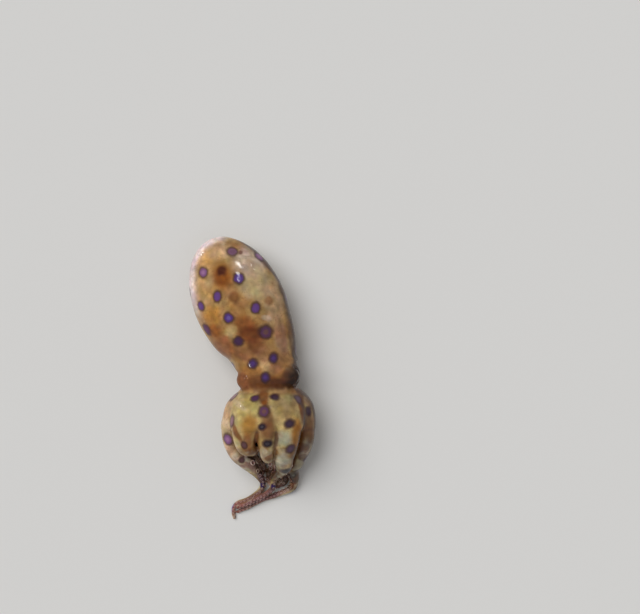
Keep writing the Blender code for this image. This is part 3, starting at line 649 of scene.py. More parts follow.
def open_eyes(grid):
    """Sinks a socket into each bulge, with a fold of skin round the opening and an upper lid."""
    for side in (1, -1):
        _, eyeball, look = eye_place(side)
        spans, x, y, z = grid.window_round([eyeball], LID_REACH)
        socket = ball_distance(x, y, z, eyeball, EYE_RADIUS)
        grid.cut(spans, socket, SOFT["socket"])
        rim = math.sqrt(EYE_RADIUS ** 2 - LID_OUT ** 2) + LID_THICKNESS * 0.4
        fold = ring_distance(x, y, z, eyeball + look * LID_OUT, look, rim, LID_THICKNESS)
        grid.join(spans, fold, SOFT["eye fold"])
        upper = np.abs(socket - UPPER_LID / 2) - UPPER_LID / 2
        upper = soft_max(upper, eyeball.z + LID_CLOSED[side] - z, SOFT["lid edge"])
        grid.join(spans, upper, SOFT["lid"])


def bud_size(station):
    """Middle, half-width and half-height of the bud at a station."""
    from_widest = station - BUD_WIDEST
    if from_widest < 0:
        wide = math.sqrt(1 - (from_widest / BUD_BACK_WIDTH_LENGTH) ** 2)
        high = math.sqrt(1 - (from_widest / BUD_BACK_HEIGHT_LENGTH) ** 2)
        rise = station / BUD_WIDEST
        height = CROWN_BACK_HEIGHT * (1 - rise) + CROWN_FRONT_HEIGHT * rise
    else:
        wide = high = 1 - (from_widest / BUD_FRONT_LENGTH) ** 2
        height = BUD_HALF_HEIGHT * high - PRESSED
    middle = Vector((read(BUD_MIDLINE, station), BUD_START - station, height))
    return middle, BUD_HALF_WIDTH * wide, BUD_HALF_HEIGHT * high


def add_crown(grid):
    """The arm crown, with the hollow round the mouth."""
    spans, x, y, z = grid.window(*CROWN_BOX)
    sizes = [bud_size(max(0.0, BUD_START - place)) for place in y.ravel()]
    middle_x = np.array([middle.x for middle, _, _ in sizes])[None, :, None]
    middle_z = np.array([middle.z for middle, _, _ in sizes])[None, :, None]
    half_width = np.array([wide for _, wide, _ in sizes])[None, :, None]
    half_height = np.array([high for _, _, high in sizes])[None, :, None]
    angle = np.arctan2((z - middle_z) / half_height, (x - middle_x) / half_width)
    station = BUD_START - y
    groove = ARM_PROUD + GROOVE_DEPTH * (1 - lobes(angle))
    groove = ease((station - GROOVE_START) / GROOVE_RISE) * groove
    crown = ellipse_distance((x - middle_x, z - middle_z), (half_width - groove, half_height - groove))
    crown = soft_max(crown, -station - CROWN_UNDER_HEAD, SOFT["crown back"])
    crown = soft_max(crown, station - CROWN_LENGTH + CROWN_SHORTER, SOFT["crown front"])
    middle, _, _ = bud_size(CROWN_LENGTH)
    hollow = ellipse_distance((x - middle.x, station - CROWN_LENGTH, z - middle.z),
                              (HOLLOW_HALF_WIDTH, HOLLOW_DEPTH, HOLLOW_HALF_HEIGHT))
    crown = soft_max(crown, -hollow, SOFT["hollow"])
    mouth = Vector((middle.x, middle.y + HOLLOW_DEPTH, middle.z))
    crown = soft_min(crown, ring_distance(x, y, z, mouth, (0, 1, 0), *LIPS), SOFT["lips"])
    grid.join(spans, crown, SOFT["crown"])


def lobes(angle):
    """1 in line with an arm and 0 midway between two, for angles round the bud."""
    apart = np.full(angle.shape, np.pi)
    for arm in ARMS:
        turned = (angle - math.radians(arm.clock) + np.pi) % (2 * np.pi) - np.pi
        apart = np.minimum(apart, np.abs(turned))
    return np.maximum(0, np.cos(apart * len(ARMS) / 2)) ** 0.6


def arm_place(arm, station, half_thickness):
    """Where an arm's middle lies in the bud at a station, and the way out from the bud there."""
    middle, half_width, half_height = bud_size(station)
    ahead = max(0.0, station - CROWN_LENGTH) / (BUD_WIDEST + BUD_FRONT_LENGTH - CROWN_LENGTH)
    angle = math.radians(arm.clock + arm.drift * ahead)
    wide = half_width - half_thickness
    high = half_height - half_thickness
    out = Vector((math.cos(angle) / wide, 0, math.sin(angle) / high)).normalized()
    place = middle + Vector((wide * math.cos(angle), 0, high * math.sin(angle))) - out * arm.sunk
    return place, out


def arm_route(arm):
    """The middle line of an arm from the crown's front to its tip, and the way out from the bud there."""
    last = arm.turn if arm.turn else arm.leave
    start = CROWN_LENGTH + GAP
    stations = np.linspace(start, last, max(2, round((last - start) / STATION_STEP) + 1))
    points = []
    for station in (*ARM_ROOTS, *stations):
        thinned = THINNED * max(0.0, station - start) / (BUD_FRONT - start)
        points.append(arm_place(arm, station, ARM_HALF_THICKNESS * (1 - thinned))[0])
    out = arm_place(arm, start, ARM_HALF_THICKNESS)[1]
    if arm.turn:
        near = points[-1]
        middle, _, _ = bud_size(arm.turn)
        far = Vector((middle.x + arm.inside[0], near.y, middle.z + arm.inside[1]))
        half_way = (near + far) / 2
        reach = (far - near).length / 2
        for angle in (45, 90, 135):
            swing = math.radians(angle)
            ahead = Vector((0, -reach * math.sin(swing), 0))
            points.append(half_way + (near - half_way) * math.cos(swing) + ahead)
        points.append(far)
        closer = Vector((arm.inside[0], 0, arm.inside[1])) * CURL_CLOSER
        end = bud_size(CURL_END)[0] + closer
        points += [far.lerp(end, 0.5), end]
    points += [Vector(point) for point in arm.route]
    return smooth_through(points, SWEEP_STEP), out


def in_rope(y):
    """1 in the rope of loose ends and 0 behind it."""
    return ease((ROPE_START - y) / 2)


class Sweep:
    """An arm as places along its middle line, each with its directions and its half-width and -thickness."""

    def __init__(self, arm):
        self.arm = arm
        self.places, out = arm_route(arm)
        self.along = lengths_along(self.places)
        self.along -= self.along[np.argmax(self.places[:, 1] < BUD_START - CROWN_LENGTH - GAP)]
        forward = np.gradient(self.places, axis=0)
        self.forward = forward / np.linalg.norm(forward, axis=1)[:, None]
        inward = -Vector(out)
        rows = []
        for i, ahead in enumerate(self.forward):
            ahead = Vector(ahead)
            inward = (inward - ahead * inward.dot(ahead)).normalized()
            turn = math.radians(arm.twist) * np.interp(i / len(self.places), TWIST_SPAN, (0, 1))
            rows.append(Matrix.Rotation(turn, 3, ahead) @ inward)
        self.inward = np.array(rows)
        self.sideways = np.cross(self.forward, self.inward)
        share = np.interp(self.along / self.along[-1], *zip(*arm.taper))
        share *= 1 + ROPE_FULLER * in_rope(self.places[:, 1])
        self.half_width = arm.half_width * share
        self.half_thickness = ARM_HALF_THICKNESS * share
        self.fold = int(np.argmin(self.places[:, 1])) if arm.turn else len(self.places) - 1

    def at(self, place):
        """The middle, the inward and sideways directions, and the half-sizes at a distance along the arm."""
        lists = (self.places, self.inward, self.sideways)
        vectors = [Vector([np.interp(place, self.along, axis) for axis in rows.T]) for rows in lists]
        return (*vectors, np.interp(place, self.along, self.half_width),
                np.interp(place, self.along, self.half_thickness))


def length_distance(grid, sweep, i):
    """The distance to the length of an arm between two of its places, in the part of the grid round it."""
    start, end = sweep.places[i], sweep.places[i + 1]
    run = end - start
    margin = max(sweep.half_width[i], sweep.half_thickness[i]) * ARM_FULLER + ARM_REACH
    spans, x, y, z = grid.window_round([start, end], margin)
    share = np.clip(ahead_of(x, y, z, start, run) / (run @ run), 0, 1)
    off = [x - start[0] - run[0] * share, y - start[1] - run[1] * share, z - start[2] - run[2] * share]

    def along(rows):
        near = sum(part * turn for part, turn in zip(off, rows[i]))
        far = sum(part * turn for part, turn in zip(off, rows[i + 1]))
        return near + (far - near) * share

    def size(rows):
        return (rows[i] + (rows[i + 1] - rows[i]) * share) * ARM_FULLER

    wide, thick = size(sweep.half_width), size(sweep.half_thickness)
    offsets = (along(sweep.sideways), along(sweep.inward), along(sweep.forward))
    return spans, ellipse_distance(offsets, (wide, thick, np.minimum(wide, thick)))


def outer_web(y, z):
    """How softly the arms' outer lengths join: at their roots, in the rope and at the clefts' tops."""
    ahead = np.maximum(BUD_START - CROWN_LENGTH - y, 0)
    root = ARM_WEB + ROOT_WEB * np.exp(-ahead / ROOT_WEB_LENGTH)
    cleft = CLEFT_WEB * ease((z - CLEFT_HEIGHT) / 2) * ease(ahead / 1.5) * (1 - ease((ahead - 3.5) / 2))
    return root + ROPE_WEB * in_rope(y) + cleft


def add_arms(grid, sweeps):
    """The arms. Their outer lengths grow out of the crown through a web, and the curled ends stay free."""
    for outer in (True, False):
        for sweep in sweeps:
            first, last = (0, sweep.fold) if outer else (sweep.fold, len(sweep.places) - 1)
            if first == last:
                continue
            alone = np.full(grid.values.shape, FAR, np.float32)
            for i in range(first, last):
                spans, distance = length_distance(grid, sweep, i)
                alone[spans] = np.minimum(alone[spans], distance)
            spans, _, y, z = grid.window_round(sweep.places[first:last + 1], JOIN_REACH)
            grid.join(spans, alone[spans], outer_web(y, z) if outer else CURL_WEB)


def add_siphon(grid):
    """The siphon, with its bore."""
    route = smooth_through(SIPHON_ROUTE, 0.3)
    end = route[-1]
    spans, x, y, z = grid.window_round(route, SIPHON_REACH)
    tube = np.full(grid.values[spans].shape, FAR)
    bore = tube.copy()
    for i, place in enumerate(route):
        radius = np.interp(i / (len(route) - 1), (0, 1), SIPHON_RADIUS)
        tube = np.minimum(tube, ball_distance(x, y, z, place, radius))
    ahead = end - route[-2]
    ahead /= np.linalg.norm(ahead)
    for back in np.arange(-SIPHON_BORE_PAST, SIPHON_BORE_DEPTH, 0.15):
        bore = np.minimum(bore, ball_distance(x, y, z, end - ahead * back, SIPHON_BORE))
    tube = soft_max(tube, ahead_of(x, y, z, end, ahead), SOFT["siphon end"])
    tube = soft_max(tube, -bore, SOFT["siphon bore"])
    grid.join(spans, tube, SOFT["siphon"])


def surface_of(grid):
    """A surface of quads where the grid's distance is zero: points and the faces' corners."""
    values = grid.values
    inside = values < 0
    shape = np.array(values.shape) - 1
    count = np.zeros(shape, np.uint8)
    for corner in np.ndindex(2, 2, 2):
        count += inside[tuple(slice(c, c + n) for c, n in zip(corner, shape))]
    mixed = (count > 0) & (count < 8)
    cells = np.argwhere(mixed)
    index = np.full(shape, -1, np.int32)
    index[mixed] = np.arange(len(cells))
    total = np.zeros((len(cells), 3))
    number = np.zeros(len(cells))
    for axis in range(3):
        step = np.eye(3, dtype=int)[axis]
        others = [other for other in range(3) if other != axis]
        for shift in np.ndindex(2, 2):
            start = np.zeros(3, int)
            start[others] = shift
            a = values[tuple((cells + start).T)]
            b = values[tuple((cells + start + step).T)]
            crosses = (a < 0) != (b < 0)
            share = np.where(crosses, a / np.where(crosses, a - b, 1), 0)
            total += (start + step * share[:, None]) * crosses[:, None]
            number += crosses
    points = grid.low + grid.cell * (cells + total / number[:, None])
    faces = []
    for axis in range(3):
        u, v = (axis + 1) % 3, (axis + 2) % 3
        low = [slice(1, n) for n in shape]
        low[axis] = slice(0, shape[axis])
        high = list(low)
        high[axis] = slice(1, shape[axis] + 1)
        start, end = inside[tuple(low)], inside[tuple(high)]
        edges = np.argwhere(start != end) + [0 if other == axis else 1 for other in range(3)]
        leaves = inside[tuple(edges.T)]
        unit = np.eye(3, dtype=int)
        around = [edges, edges - unit[u], edges - unit[u] - unit[v], edges - unit[v]]
        corners = np.stack([index[tuple(cell.T)] for cell in around], axis=1)
        corners[~leaves] = corners[~leaves][:, ::-1]
        faces.append(corners)
    return points, np.concatenate(faces)


def keep_largest(points, faces):
    """Only the largest of the surfaces that don't touch."""
    label = np.arange(len(points))
    pairs = np.concatenate([faces[:, [i, (i + 1) % 4]] for i in range(4)])
    while True:
        least = label.copy()
        np.minimum.at(least, pairs[:, 0], label[pairs[:, 1]])
        np.minimum.at(least, pairs[:, 1], label[pairs[:, 0]])
        least = least[least]
        if (least == label).all():
            break
        label = least
    names, sizes = np.unique(label, return_counts=True)
    kept = label == names[np.argmax(sizes)]
    renumbered = np.cumsum(kept) - 1
    return points[kept], renumbered[faces[kept[faces[:, 0]]]]


def relax(grid, points, faces, rounds):
    """Spreads the points evenly, and brings them back to the surface."""
    pairs = np.concatenate([faces[:, [i, (i + 1) % 4]] for i in range(4)])
    number = np.bincount(pairs.ravel(), minlength=len(points))[:, None]
    for _ in range(rounds):
        total = np.zeros_like(points)
        for axis in range(3):
            total[:, axis] = (np.bincount(pairs[:, 0], points[pairs[:, 1], axis], len(points))
                              + np.bincount(pairs[:, 1], points[pairs[:, 0], axis], len(points)))
        points = 0.4 * points + 0.6 * total / number
        points = points - grid.slope(points) * grid.sample(points)[:, None] * 0.85
    return points


def new_object(name, data):
    made = bpy.data.objects.new(name, data)
    bpy.context.scene.collection.objects.link(made)
    return made


def mesh_object(name, points, faces):
    """A smooth object from points in millimetres."""
    mesh = bpy.data.meshes.new(name)
    corners = faces.tolist() if isinstance(faces, np.ndarray) else faces
    mesh.from_pydata((np.asarray(points) * MM).tolist(), [], corners)
    mesh.shade_smooth()
    return new_object(name, mesh)


def set_values(piece, name, values):
    """Writes a number, or a colour, for each point of a piece."""
    values = np.asarray(values, np.float32)
    kind = "FLOAT_COLOR" if values.ndim == 2 else "FLOAT"
    attribute = piece.data.attributes.new(name, kind, "POINT")
    if values.ndim == 2:
        values = np.column_stack([values, np.ones(len(values), np.float32)])
        attribute.data.foreach_set("color", values.ravel())
    else:
        attribute.data.foreach_set("value", values)


def make_skin(sweeps):
    """The grid of distances, and the whole skin's points and faces."""
    grid = Grid(*SKIN_BOX, CELL)
    add_mantle(grid)
    add_head(grid)
    add_crown(grid)
    add_arms(grid, sweeps)
    open_eyes(grid)
    add_siphon(grid)
    height = grid.axes[2][None, None, :]
    grid.values = soft_max(grid.values, -height, SOFT["floor"]).astype(np.float32)
    points, faces = keep_largest(*surface_of(grid))
    points = relax(grid, points, faces, 3)
    points[:, 2] = np.maximum(points[:, 2], 0)
    return grid, points, faces


def photo_place(points):
    """Where points show in the photograph, in its pixels."""
    away = CAMERA.z - points[:, 2]
    across = PHOTO_MIDDLE[0] + (points[:, 0] - CAMERA.x) * FOCAL / away
    down = PHOTO_MIDDLE[1] - (points[:, 1] - CAMERA.y) * FOCAL / away
    return np.column_stack([across, down])


def linear(colour):
    """Linear light from sRGB of 0 to 255."""
    share = np.asarray(colour, float) / 255
    return np.where(share <= 0.04045, share / 12.92, ((share + 0.055) / 1.055) ** 2.4)


def roughen(points, kind):
    """Smooth noise from about -1 to 1 at each point. Its kind gives the bumps' size and a seed."""
    size, seed = kind
    places = (points / size + seed * 17.3).tolist()
    return np.array([noise.noise(place) for place in places])


def tree_of(places):
    """A tree that finds the nearest of some places."""
    tree = kdtree.KDTree(len(places))
    for index, place in enumerate(places):
        tree.insert(place, index)
    tree.balance()
    return tree


class Painting:
    """The skin's colour at each of its points, built up like paint from the ground colour on."""

    def __init__(self, grid, points, sweeps):
        self.points = points
        self.normals = grid.slope(points)
        self.photo = photo_place(points)
        self.seen = self.find_seen()
        self.open = np.clip(grid.sample(points + self.normals * OPEN_REACH) / OPEN_REACH, 0, 1)
        self.oral = self.find_oral(sweeps)
        arm_station = BUD_START - CROWN_LENGTH - 1 - points[:, 1]
        self.on_arms = ease(arm_station / 4) * (1 - self.oral)
        self.mottle = roughen(points, MOTTLE)
        self.grain = roughen(points, GRAIN)
        self.colour = np.tile(linear(TAN), (len(points), 1))

    def top_at(self, across, down, within, least_seen):
        """The index of the highest point near a place in the photograph, of those that it sees so well."""
        away = np.hypot(*(self.photo - (across, down)).T)
        near = np.nonzero((away < within) & (self.seen > least_seen))[0]
        return near[np.argmax(self.points[near, 2] - away[near])]

    def seen_at(self, across, down):
        """The point that shows at a place in the photograph, and the way out of the skin there."""
        index = self.top_at(across, down, 2, -1)
        return Vector(self.points[index]), Vector(self.normals[index])

    def find_seen(self):
        """1 where the photograph sees a point, 0 where something lies over it."""
        column = np.floor(self.photo).astype(int) - ANIMAL_CORNER
        top = np.full(ANIMAL_SIZE, -1.0)
        np.maximum.at(top, (column[:, 0], column[:, 1]), self.points[:, 2])
        below = top[column[:, 0], column[:, 1]] - self.points[:, 2]
        return 1 - ease((below - 0.7) / 0.6)

    def find_oral(self, sweeps):
        """1 on the side of an arm that carries the suckers, 0 elsewhere."""
        place, inward, wide, thick, along = (
            np.concatenate([getattr(sweep, rows) for sweep in sweeps])
            for rows in ("places", "inward", "half_width", "half_thickness", "along"))
        tree = tree_of(place)
        oral = np.zeros(len(self.points))
        ahead = BUD_START - CROWN_LENGTH - self.points[:, 1]
        for index in np.nonzero(ahead > -1)[0]:
            point = self.points[index]
            _, row, away = tree.find(point)
            if along[row] > 0 and away < wide[row] * 1.5 + 0.3:
                oral[index] = (point - place[row]) @ inward[row] / thick[row]
        return ease((oral - 0.15) / 0.5) * ease(ahead / 1.5)

    def lay(self, colour, strength):
        """Mixes a colour in, by a strength that may differ from point to point."""
        strength = np.clip(strength, 0, 1)[:, None] if np.ndim(strength) else strength
        self.colour = self.colour * (1 - strength) + linear(colour) * strength

    def patch(self, across, down, half_width, half_height, turn, colour, strength):
        """A soft-edged patch where the photograph shows it."""
        angle = math.radians(turn)
        x = self.photo[:, 0] - across + self.mottle * 1.6
        y = self.photo[:, 1] - down + self.grain * 1.3
        along = x * math.cos(angle) + y * math.sin(angle)
        aside = y * math.cos(angle) - x * math.sin(angle)
        away = np.hypot(along / half_width, aside / half_height)
        facing = ease((self.normals[:, 2] + 0.15) / 0.4)
        self.lay(colour, strength * (1 - ease((away - 0.55) / 0.85)) * facing * self.seen)

    def paint(self):
        self.paint_ground()
        for _, *patch in PATCHES:
            self.patch(*patch)
        self.paint_arms()
        self.paint_lit_and_shaded_edges()
        self.paint_eyes()
        self.paint_crevice_shade_and_veins()
        self.vary()

    def paint_ground(self):
        """The crown's and the arms' paler tan, clouds, the pale belly, and the pink inside of the arms."""
        self.lay(CROWN_TAN, ease((BUD_START + 0.2 - self.points[:, 1]) / 0.8))
        clouds = roughen(self.points, CLOUDS)
        self.lay(CLOUD, 0.5 * ease((clouds - 0.02) / 0.3))
        self.lay(MILK, 0.35 * ease((-clouds - 0.08) / 0.3))
        self.lay(BELLY, 0.9 * ease((-0.15 - self.normals[:, 2]) / 0.5))
        self.lay(INNER_PINK, 0.85 * self.oral)

    def paint_arms(self):
        """Pale and brown blotches on the outside of the arms."""
        blotches = roughen(self.points, BLOTCHES)
        self.lay(ARM_PALE, 0.45 * self.on_arms * ease((blotches - 0.04) / 0.25))
        self.lay(BROWN, 0.4 * self.on_arms * ease((-blotches - 0.1) / 0.25))

    def paint_lit_and_shaded_edges(self):
        """Painted light and shade on the edges: the mantle's edge, pale towards the light, partly its
        translucent rim and partly painted light, and the flanks that face away from it, brown as pigment and
        as painted shade.
        """
        x, y, z = self.normals.T
        behind = 1 - ease((-8 - self.points[:, 1]) / 3)
        upper = ease((z + 0.4) / 0.3)
        lit = ease((y * 0.5 - x * 0.75 - 0.25) / 0.35) * ease((y + 0.45) / 0.3)
        # Painted light: the pale rim is strongest where the edge faces the light from the upper left.
        self.lay(PALE_AND_LIT_EDGE, behind * upper * ease((0.84 - z) / 0.26) * lit * 0.92)
        flank = ease((z + 0.15) / 0.25) * ease((0.6 + 0.2 * self.mottle - z) / 0.25) * ease((x - 0.25) / 0.3)
        # Painted shade, with the edge's own brown: darker on the flanks turned from the light.
        self.lay(DARK_AND_SHADED_EDGE, flank * (0.9 - 0.4 * self.on_arms))

    def paint_eyes(self):
        """Dark skin round each eye. Round the left eye it is near black, partly dark skin and partly painted
        shade on the side turned from the light.
        """
        for side, tone in ((1, EYE_BLACK_AND_SHADE), (-1, EYE_BROWN)):
            away = np.linalg.norm(self.points - np.array(eye_place(side)[1]), axis=1)
            self.lay(tone, 0.9 * ease((EYE_RADIUS + 0.95 + 0.3 * self.mottle - away) / 0.7))

    def paint_crevice_shade_and_veins(self):
        """Painted shade: brown darkening where parts lie close together. Also thin brown lines."""
        # Painted shade where parts lie close together, less in the rope.
        self.lay(CREVICE_SHADE, 0.6 * (1 - self.open) ** 0.9 * (1 - 0.75 * in_rope(self.points[:, 1])))
        veins = 1 - np.abs(roughen(self.points, VEINS)) * 4
        self.lay(BROWN, 0.22 * ease(veins) * ease(0.6 + self.mottle))

    def vary(self):
        """Makes the colour wander a little in lightness and tint, and richer."""
        tints = np.column_stack([roughen(self.points, kind) for kind in TINTS])
        self.colour *= np.exp(0.34 * self.mottle + 0.3 * self.grain)[:, None] * np.exp(TINT * tints)
        grey = self.colour @ LUMINANCE
        self.colour = grey[:, None] + (self.colour - grey[:, None]) * RICHER
        self.colour = np.clip(self.colour, 0.004, 1)

    def add_rings(self, luck):
        """Finds each point's distance from the nearest ring's middle, over its radius, and its colours."""
        self.ring = np.full(len(self.points), FAR)
        self.band, self.heart = (np.tile(linear(colour), (len(self.points), 1))
                                 for colour in RING_KINDS["violet"])
        middles = []
        for across, down, radius, kind, stretch, turn in RINGS:
            index = self.top_at(across, down, 1.2, 0.3)
            angle = math.radians(turn)
            way = np.array([math.cos(angle), -math.sin(angle), 0])
            scale = (CAMERA.z - self.points[index, 2]) / FOCAL
            self.add_ring(index, radius * scale, kind, stretch, way)
            middles.append(self.points[index])
        hidden = np.nonzero((self.seen * ease(self.normals[:, 2] / 0.3) < 0.2) & (self.oral < 0.1)
                            & (self.open > 0.75) & (self.points[:, 2] > 0.25))[0].tolist()
        luck.shuffle(hidden)
        for index in hidden:
            place = self.points[index]
            apart = RING_APART + luck.uniform(-0.3, 0.9)
            if min(np.linalg.norm(place - other) for other in middles) < apart:
                continue
            middles.append(place)
            radius = RING_RADIUS * luck.uniform(0.85, 1.12)
            way = np.array([luck.uniform(-1, 1) for _ in range(3)])
            kind = luck.choice(UNSEEN_RING_KINDS)
            self.add_ring(index, radius, kind, luck.uniform(1.0, 1.25), way)

    def add_ring(self, index, radius, kind, stretch, way):
        """One ring round a point, longer in a way, on the skin that faces as the point does."""
        middle, out = self.points[index], self.normals[index]
        way = way - out * (way @ out)
        way /= np.linalg.norm(way)
        near = np.nonzero(np.linalg.norm(self.points - middle, axis=1) < radius * 2.6)[0]
        off = self.points[near] - middle
        along = off @ way
        aside = np.sqrt(np.maximum((off ** 2).sum(axis=1) - along ** 2, 0))
        wavy = 1 + 0.1 * self.grain[near] + 0.1 * self.mottle[near]
        away = np.hypot(along / math.sqrt(stretch), aside * math.sqrt(stretch)) / radius * wavy
        away[(self.normals[near] @ out) < 0.1] = FAR
        nearer = away < self.ring[near]
        chosen = near[nearer]
        self.ring[chosen] = away[nearer]
        self.band[chosen] = linear(RING_KINDS[kind][0])
        self.heart[chosen] = linear(RING_KINDS[kind][1])


def principled(name):
    """A material with its shader node, and the node tree to add to."""
    material = bpy.data.materials.new(name)
    material.use_nodes = True
    tree = material.node_tree
    return material, tree, tree.nodes["Principled BSDF"]


class Nodes:
    """Short ways to add nodes to a material."""

    def __init__(self, tree):
        self.tree = tree

    def add(self, kind, **settings):
        node = self.tree.nodes.new(kind)
        for key, value in settings.items():
            setattr(node, key, value)
        return node

    def put(self, socket, value):
        """Gives a socket a value, or links it to another socket."""
        if isinstance(value, bpy.types.NodeSocket):
            self.tree.links.new(value, socket)
        else:
            socket.default_value = value

    def attribute(self, name, output="Fac"):
        return self.add("ShaderNodeAttribute", attribute_name=name).outputs[output]

    def math(self, operation, first, second=0.0):
        node = self.add("ShaderNodeMath", operation=operation)
        self.put(node.inputs[0], first)
        self.put(node.inputs[1], second)
        return node.outputs[0]

    def ramp(self, value, start, end, low=0.0, high=1.0):
        """From low to high, eased, as the value goes from start to end."""
        node = self.add("ShaderNodeMapRange", interpolation_type="SMOOTHSTEP")
        for socket, given in zip(node.inputs, (value, start, end, low, high)):
            self.put(socket, given)
        return node.outputs[0]

    def mix(self, share, first, second, blend="MIX"):
        node = self.add("ShaderNodeMix", data_type="RGBA", blend_type=blend)
        self.put(node.inputs[0], share)
        self.put(node.inputs[6], first)
        self.put(node.inputs[7], second)
        return node.outputs[2]

    def bumps(self, size, detail=3.0, roughness=0.55):
        """Noise from 0 to 1 with bumps of about a size in millimetres."""
        place = self.add("ShaderNodeTexCoord").outputs["Object"]
        scaled = self.add("ShaderNodeMapping")
        self.put(scaled.inputs["Vector"], place)
        self.put(scaled.inputs["Scale"], [1 / (size * MM)] * 3)
        node = self.add("ShaderNodeTexNoise")
        self.put(node.inputs["Vector"], scaled.outputs[0])
        self.put(node.inputs["Scale"], 1.0)
        self.put(node.inputs["Detail"], detail)
        self.put(node.inputs["Roughness"], roughness)
        return node.outputs[0]

    def cells(self, size):
        """The distance to the nearest of many scattered dots, over their spacing."""
        node = self.add("ShaderNodeTexVoronoi")
        self.put(node.inputs["Vector"], self.add("ShaderNodeTexCoord").outputs["Object"])
        self.put(node.inputs["Scale"], 1 / (size * MM))
        return node.outputs["Distance"]

    def relief(self, height, depth, normal=None):
        """A bump of a height that goes from 0 to 1, over a depth in millimetres."""
        node = self.add("ShaderNodeBump")
        self.put(node.inputs["Strength"], 1.0)
        self.put(node.inputs["Distance"], depth * MM)
        self.put(node.inputs["Height"], height)
        if normal:
            self.put(node.inputs["Normal"], normal)
        return node.outputs[0]


def rgba(colour):
    return (*linear(colour).tolist(), 1)


def set_inputs(shader, settings):
    for name, value in settings.items():
        shader.inputs[name].default_value = value


def wet_flesh(shader, roughness):
    """Wet, slightly see-through flesh."""
    set_inputs(shader, {"Roughness": roughness, "Subsurface Weight": 0.15, "Subsurface Scale": 0.5 * MM,
                        "Subsurface Radius": (1.0, 0.5, 0.3), "IOR": 1.36, "Specular IOR Level": 0.12,
                        "Coat Weight": 0.65, "Coat Roughness": 0.06, "Coat IOR": 1.38})


def skin_material():
    """The skin: painted ground, which holds painted light and shade as well as the skin's colours, freckles
    of pigment cells, and rings with a dark rim, a band and a heart.
    """
    material, tree, shader = principled("skin")
    nodes = Nodes(tree)
    wet_flesh(shader, 0.36)
    dots = nodes.ramp(nodes.cells(0.42), 0.12, 0.42, 1.0, 0.0)
    patchy = nodes.ramp(nodes.bumps(1.3), 0.35, 0.65)
    ground = nodes.mix(nodes.math("MULTIPLY", dots, nodes.math("MULTIPLY", patchy, 0.34)),
                       nodes.attribute("ground", "Color"), rgba(BROWN))
    pale = nodes.ramp(nodes.bumps(0.8, 2), 0.5, 0.78, 0.0, 0.16)
    ground = nodes.mix(pale, ground, (1.7, 1.6, 1.5, 1), "MULTIPLY")
    wavy = nodes.math("MULTIPLY", nodes.math("SUBTRACT", nodes.bumps(0.5), 0.5), 0.35)
    ring = nodes.math("ADD", nodes.attribute("ring"), wavy)
    colour = nodes.mix(nodes.ramp(ring, 0.8, 1.42, 0.85, 0.0), ground, rgba(RING_RIM))
    colour = nodes.mix(nodes.ramp(ring, 0.52, 0.94, 1.0, 0.0), colour, nodes.attribute("ring_band", "Color"))
    colour = nodes.mix(nodes.ramp(ring, 0.2, 0.55, 1.0, 0.0), colour, nodes.attribute("ring_heart", "Color"))
    nodes.put(shader.inputs["Base Color"], colour)
    folds = nodes.relief(nodes.bumps(1.1, 4), 0.09)
    pores = nodes.relief(nodes.bumps(0.28, 3), 0.018, folds)
    nodes.put(shader.inputs["Normal"], pores)
    return material


def sucker_material():
    """Suckers: pale flesh, darker in the cup as painted shade."""
    material, tree, shader = principled("pale_skin")
    nodes = Nodes(tree)
    wet_flesh(shader, 0.32)
    tint = nodes.mix(nodes.bumps(0.5), rgba(SUCKER_PALE), rgba(SUCKER_DARK))
    tint = nodes.mix(nodes.attribute("cup"), tint, rgba(SUCKER_CUP_SHADE))
    tint = nodes.mix(1.0, tint, nodes.attribute("tone", "Color"), "MULTIPLY")
    nodes.put(shader.inputs["Base Color"], tint)
    nodes.put(shader.inputs["Normal"], nodes.relief(nodes.bumps(0.15), 0.015))
    return material


def eye_material():
    """The eye: a black slit, a bronze iris with fine rays, near-black round it, and a clear wet coat."""
    material, tree, shader = principled("eye")
    nodes = Nodes(tree)
    rays = nodes.bumps(0.12, 4, 0.7)
    iris = nodes.mix(nodes.ramp(rays, 0.35, 0.7), rgba(IRIS_DARK), rgba(IRIS_BRONZE))
    around = nodes.mix(nodes.ramp(nodes.attribute("iris"), 0.86, 1.05), iris, rgba(EYEBALL_DARK))
    colour = nodes.mix(nodes.ramp(nodes.attribute("slit"), 0.8, 1.05), rgba(SLIT_BLACK), around)
    nodes.put(shader.inputs["Base Color"], colour)
    set_inputs(shader, {"Roughness": 0.3, "IOR": 1.36, "Specular IOR Level": 0.2, "Coat Weight": 0.7,
                        "Coat Roughness": 0.02, "Coat IOR": 1.42})
    return material


def make_eye(side):
    """One eyeball, a little fuller over the iris, with a slit that lies level."""
    _, middle, look = eye_place(side)
    shape = bmesh.new()
    bmesh.ops.create_uvsphere(shape, u_segments=48, v_segments=32, radius=EYE_RADIUS)
    turn = look.to_track_quat("Z", "Y").to_matrix()
    points, iris, slit = [], [], []
    level = Vector((0, 1, 0)).cross(look).normalized().cross(look)
    for vert in shape.verts:
        out = (turn @ vert.co).normalized()
        aside = math.sqrt(max(0.0, 1 - out.dot(look) ** 2)) if out.dot(look) > 0 else 2.0
        swell = CORNEA_BULGE * float(ease((0.62 - aside) / 0.5))
        points.append(middle + out * (EYE_RADIUS + swell))
        iris.append(aside / IRIS)
        across = out.dot(level)
        upward = out.dot(level.cross(look))
        slit.append(math.hypot(across / SLIT[0], upward / SLIT[1]) if aside < 1 else FAR)
    faces = [[vert.index for vert in face.verts] for face in shape.faces]
    shape.free()
    name = "left_eyeball" if side > 0 else "right_eyeball"
    eye = mesh_object(name, points, faces)
    set_values(eye, "iris", iris)
    set_values(eye, "slit", slit)
    return eye


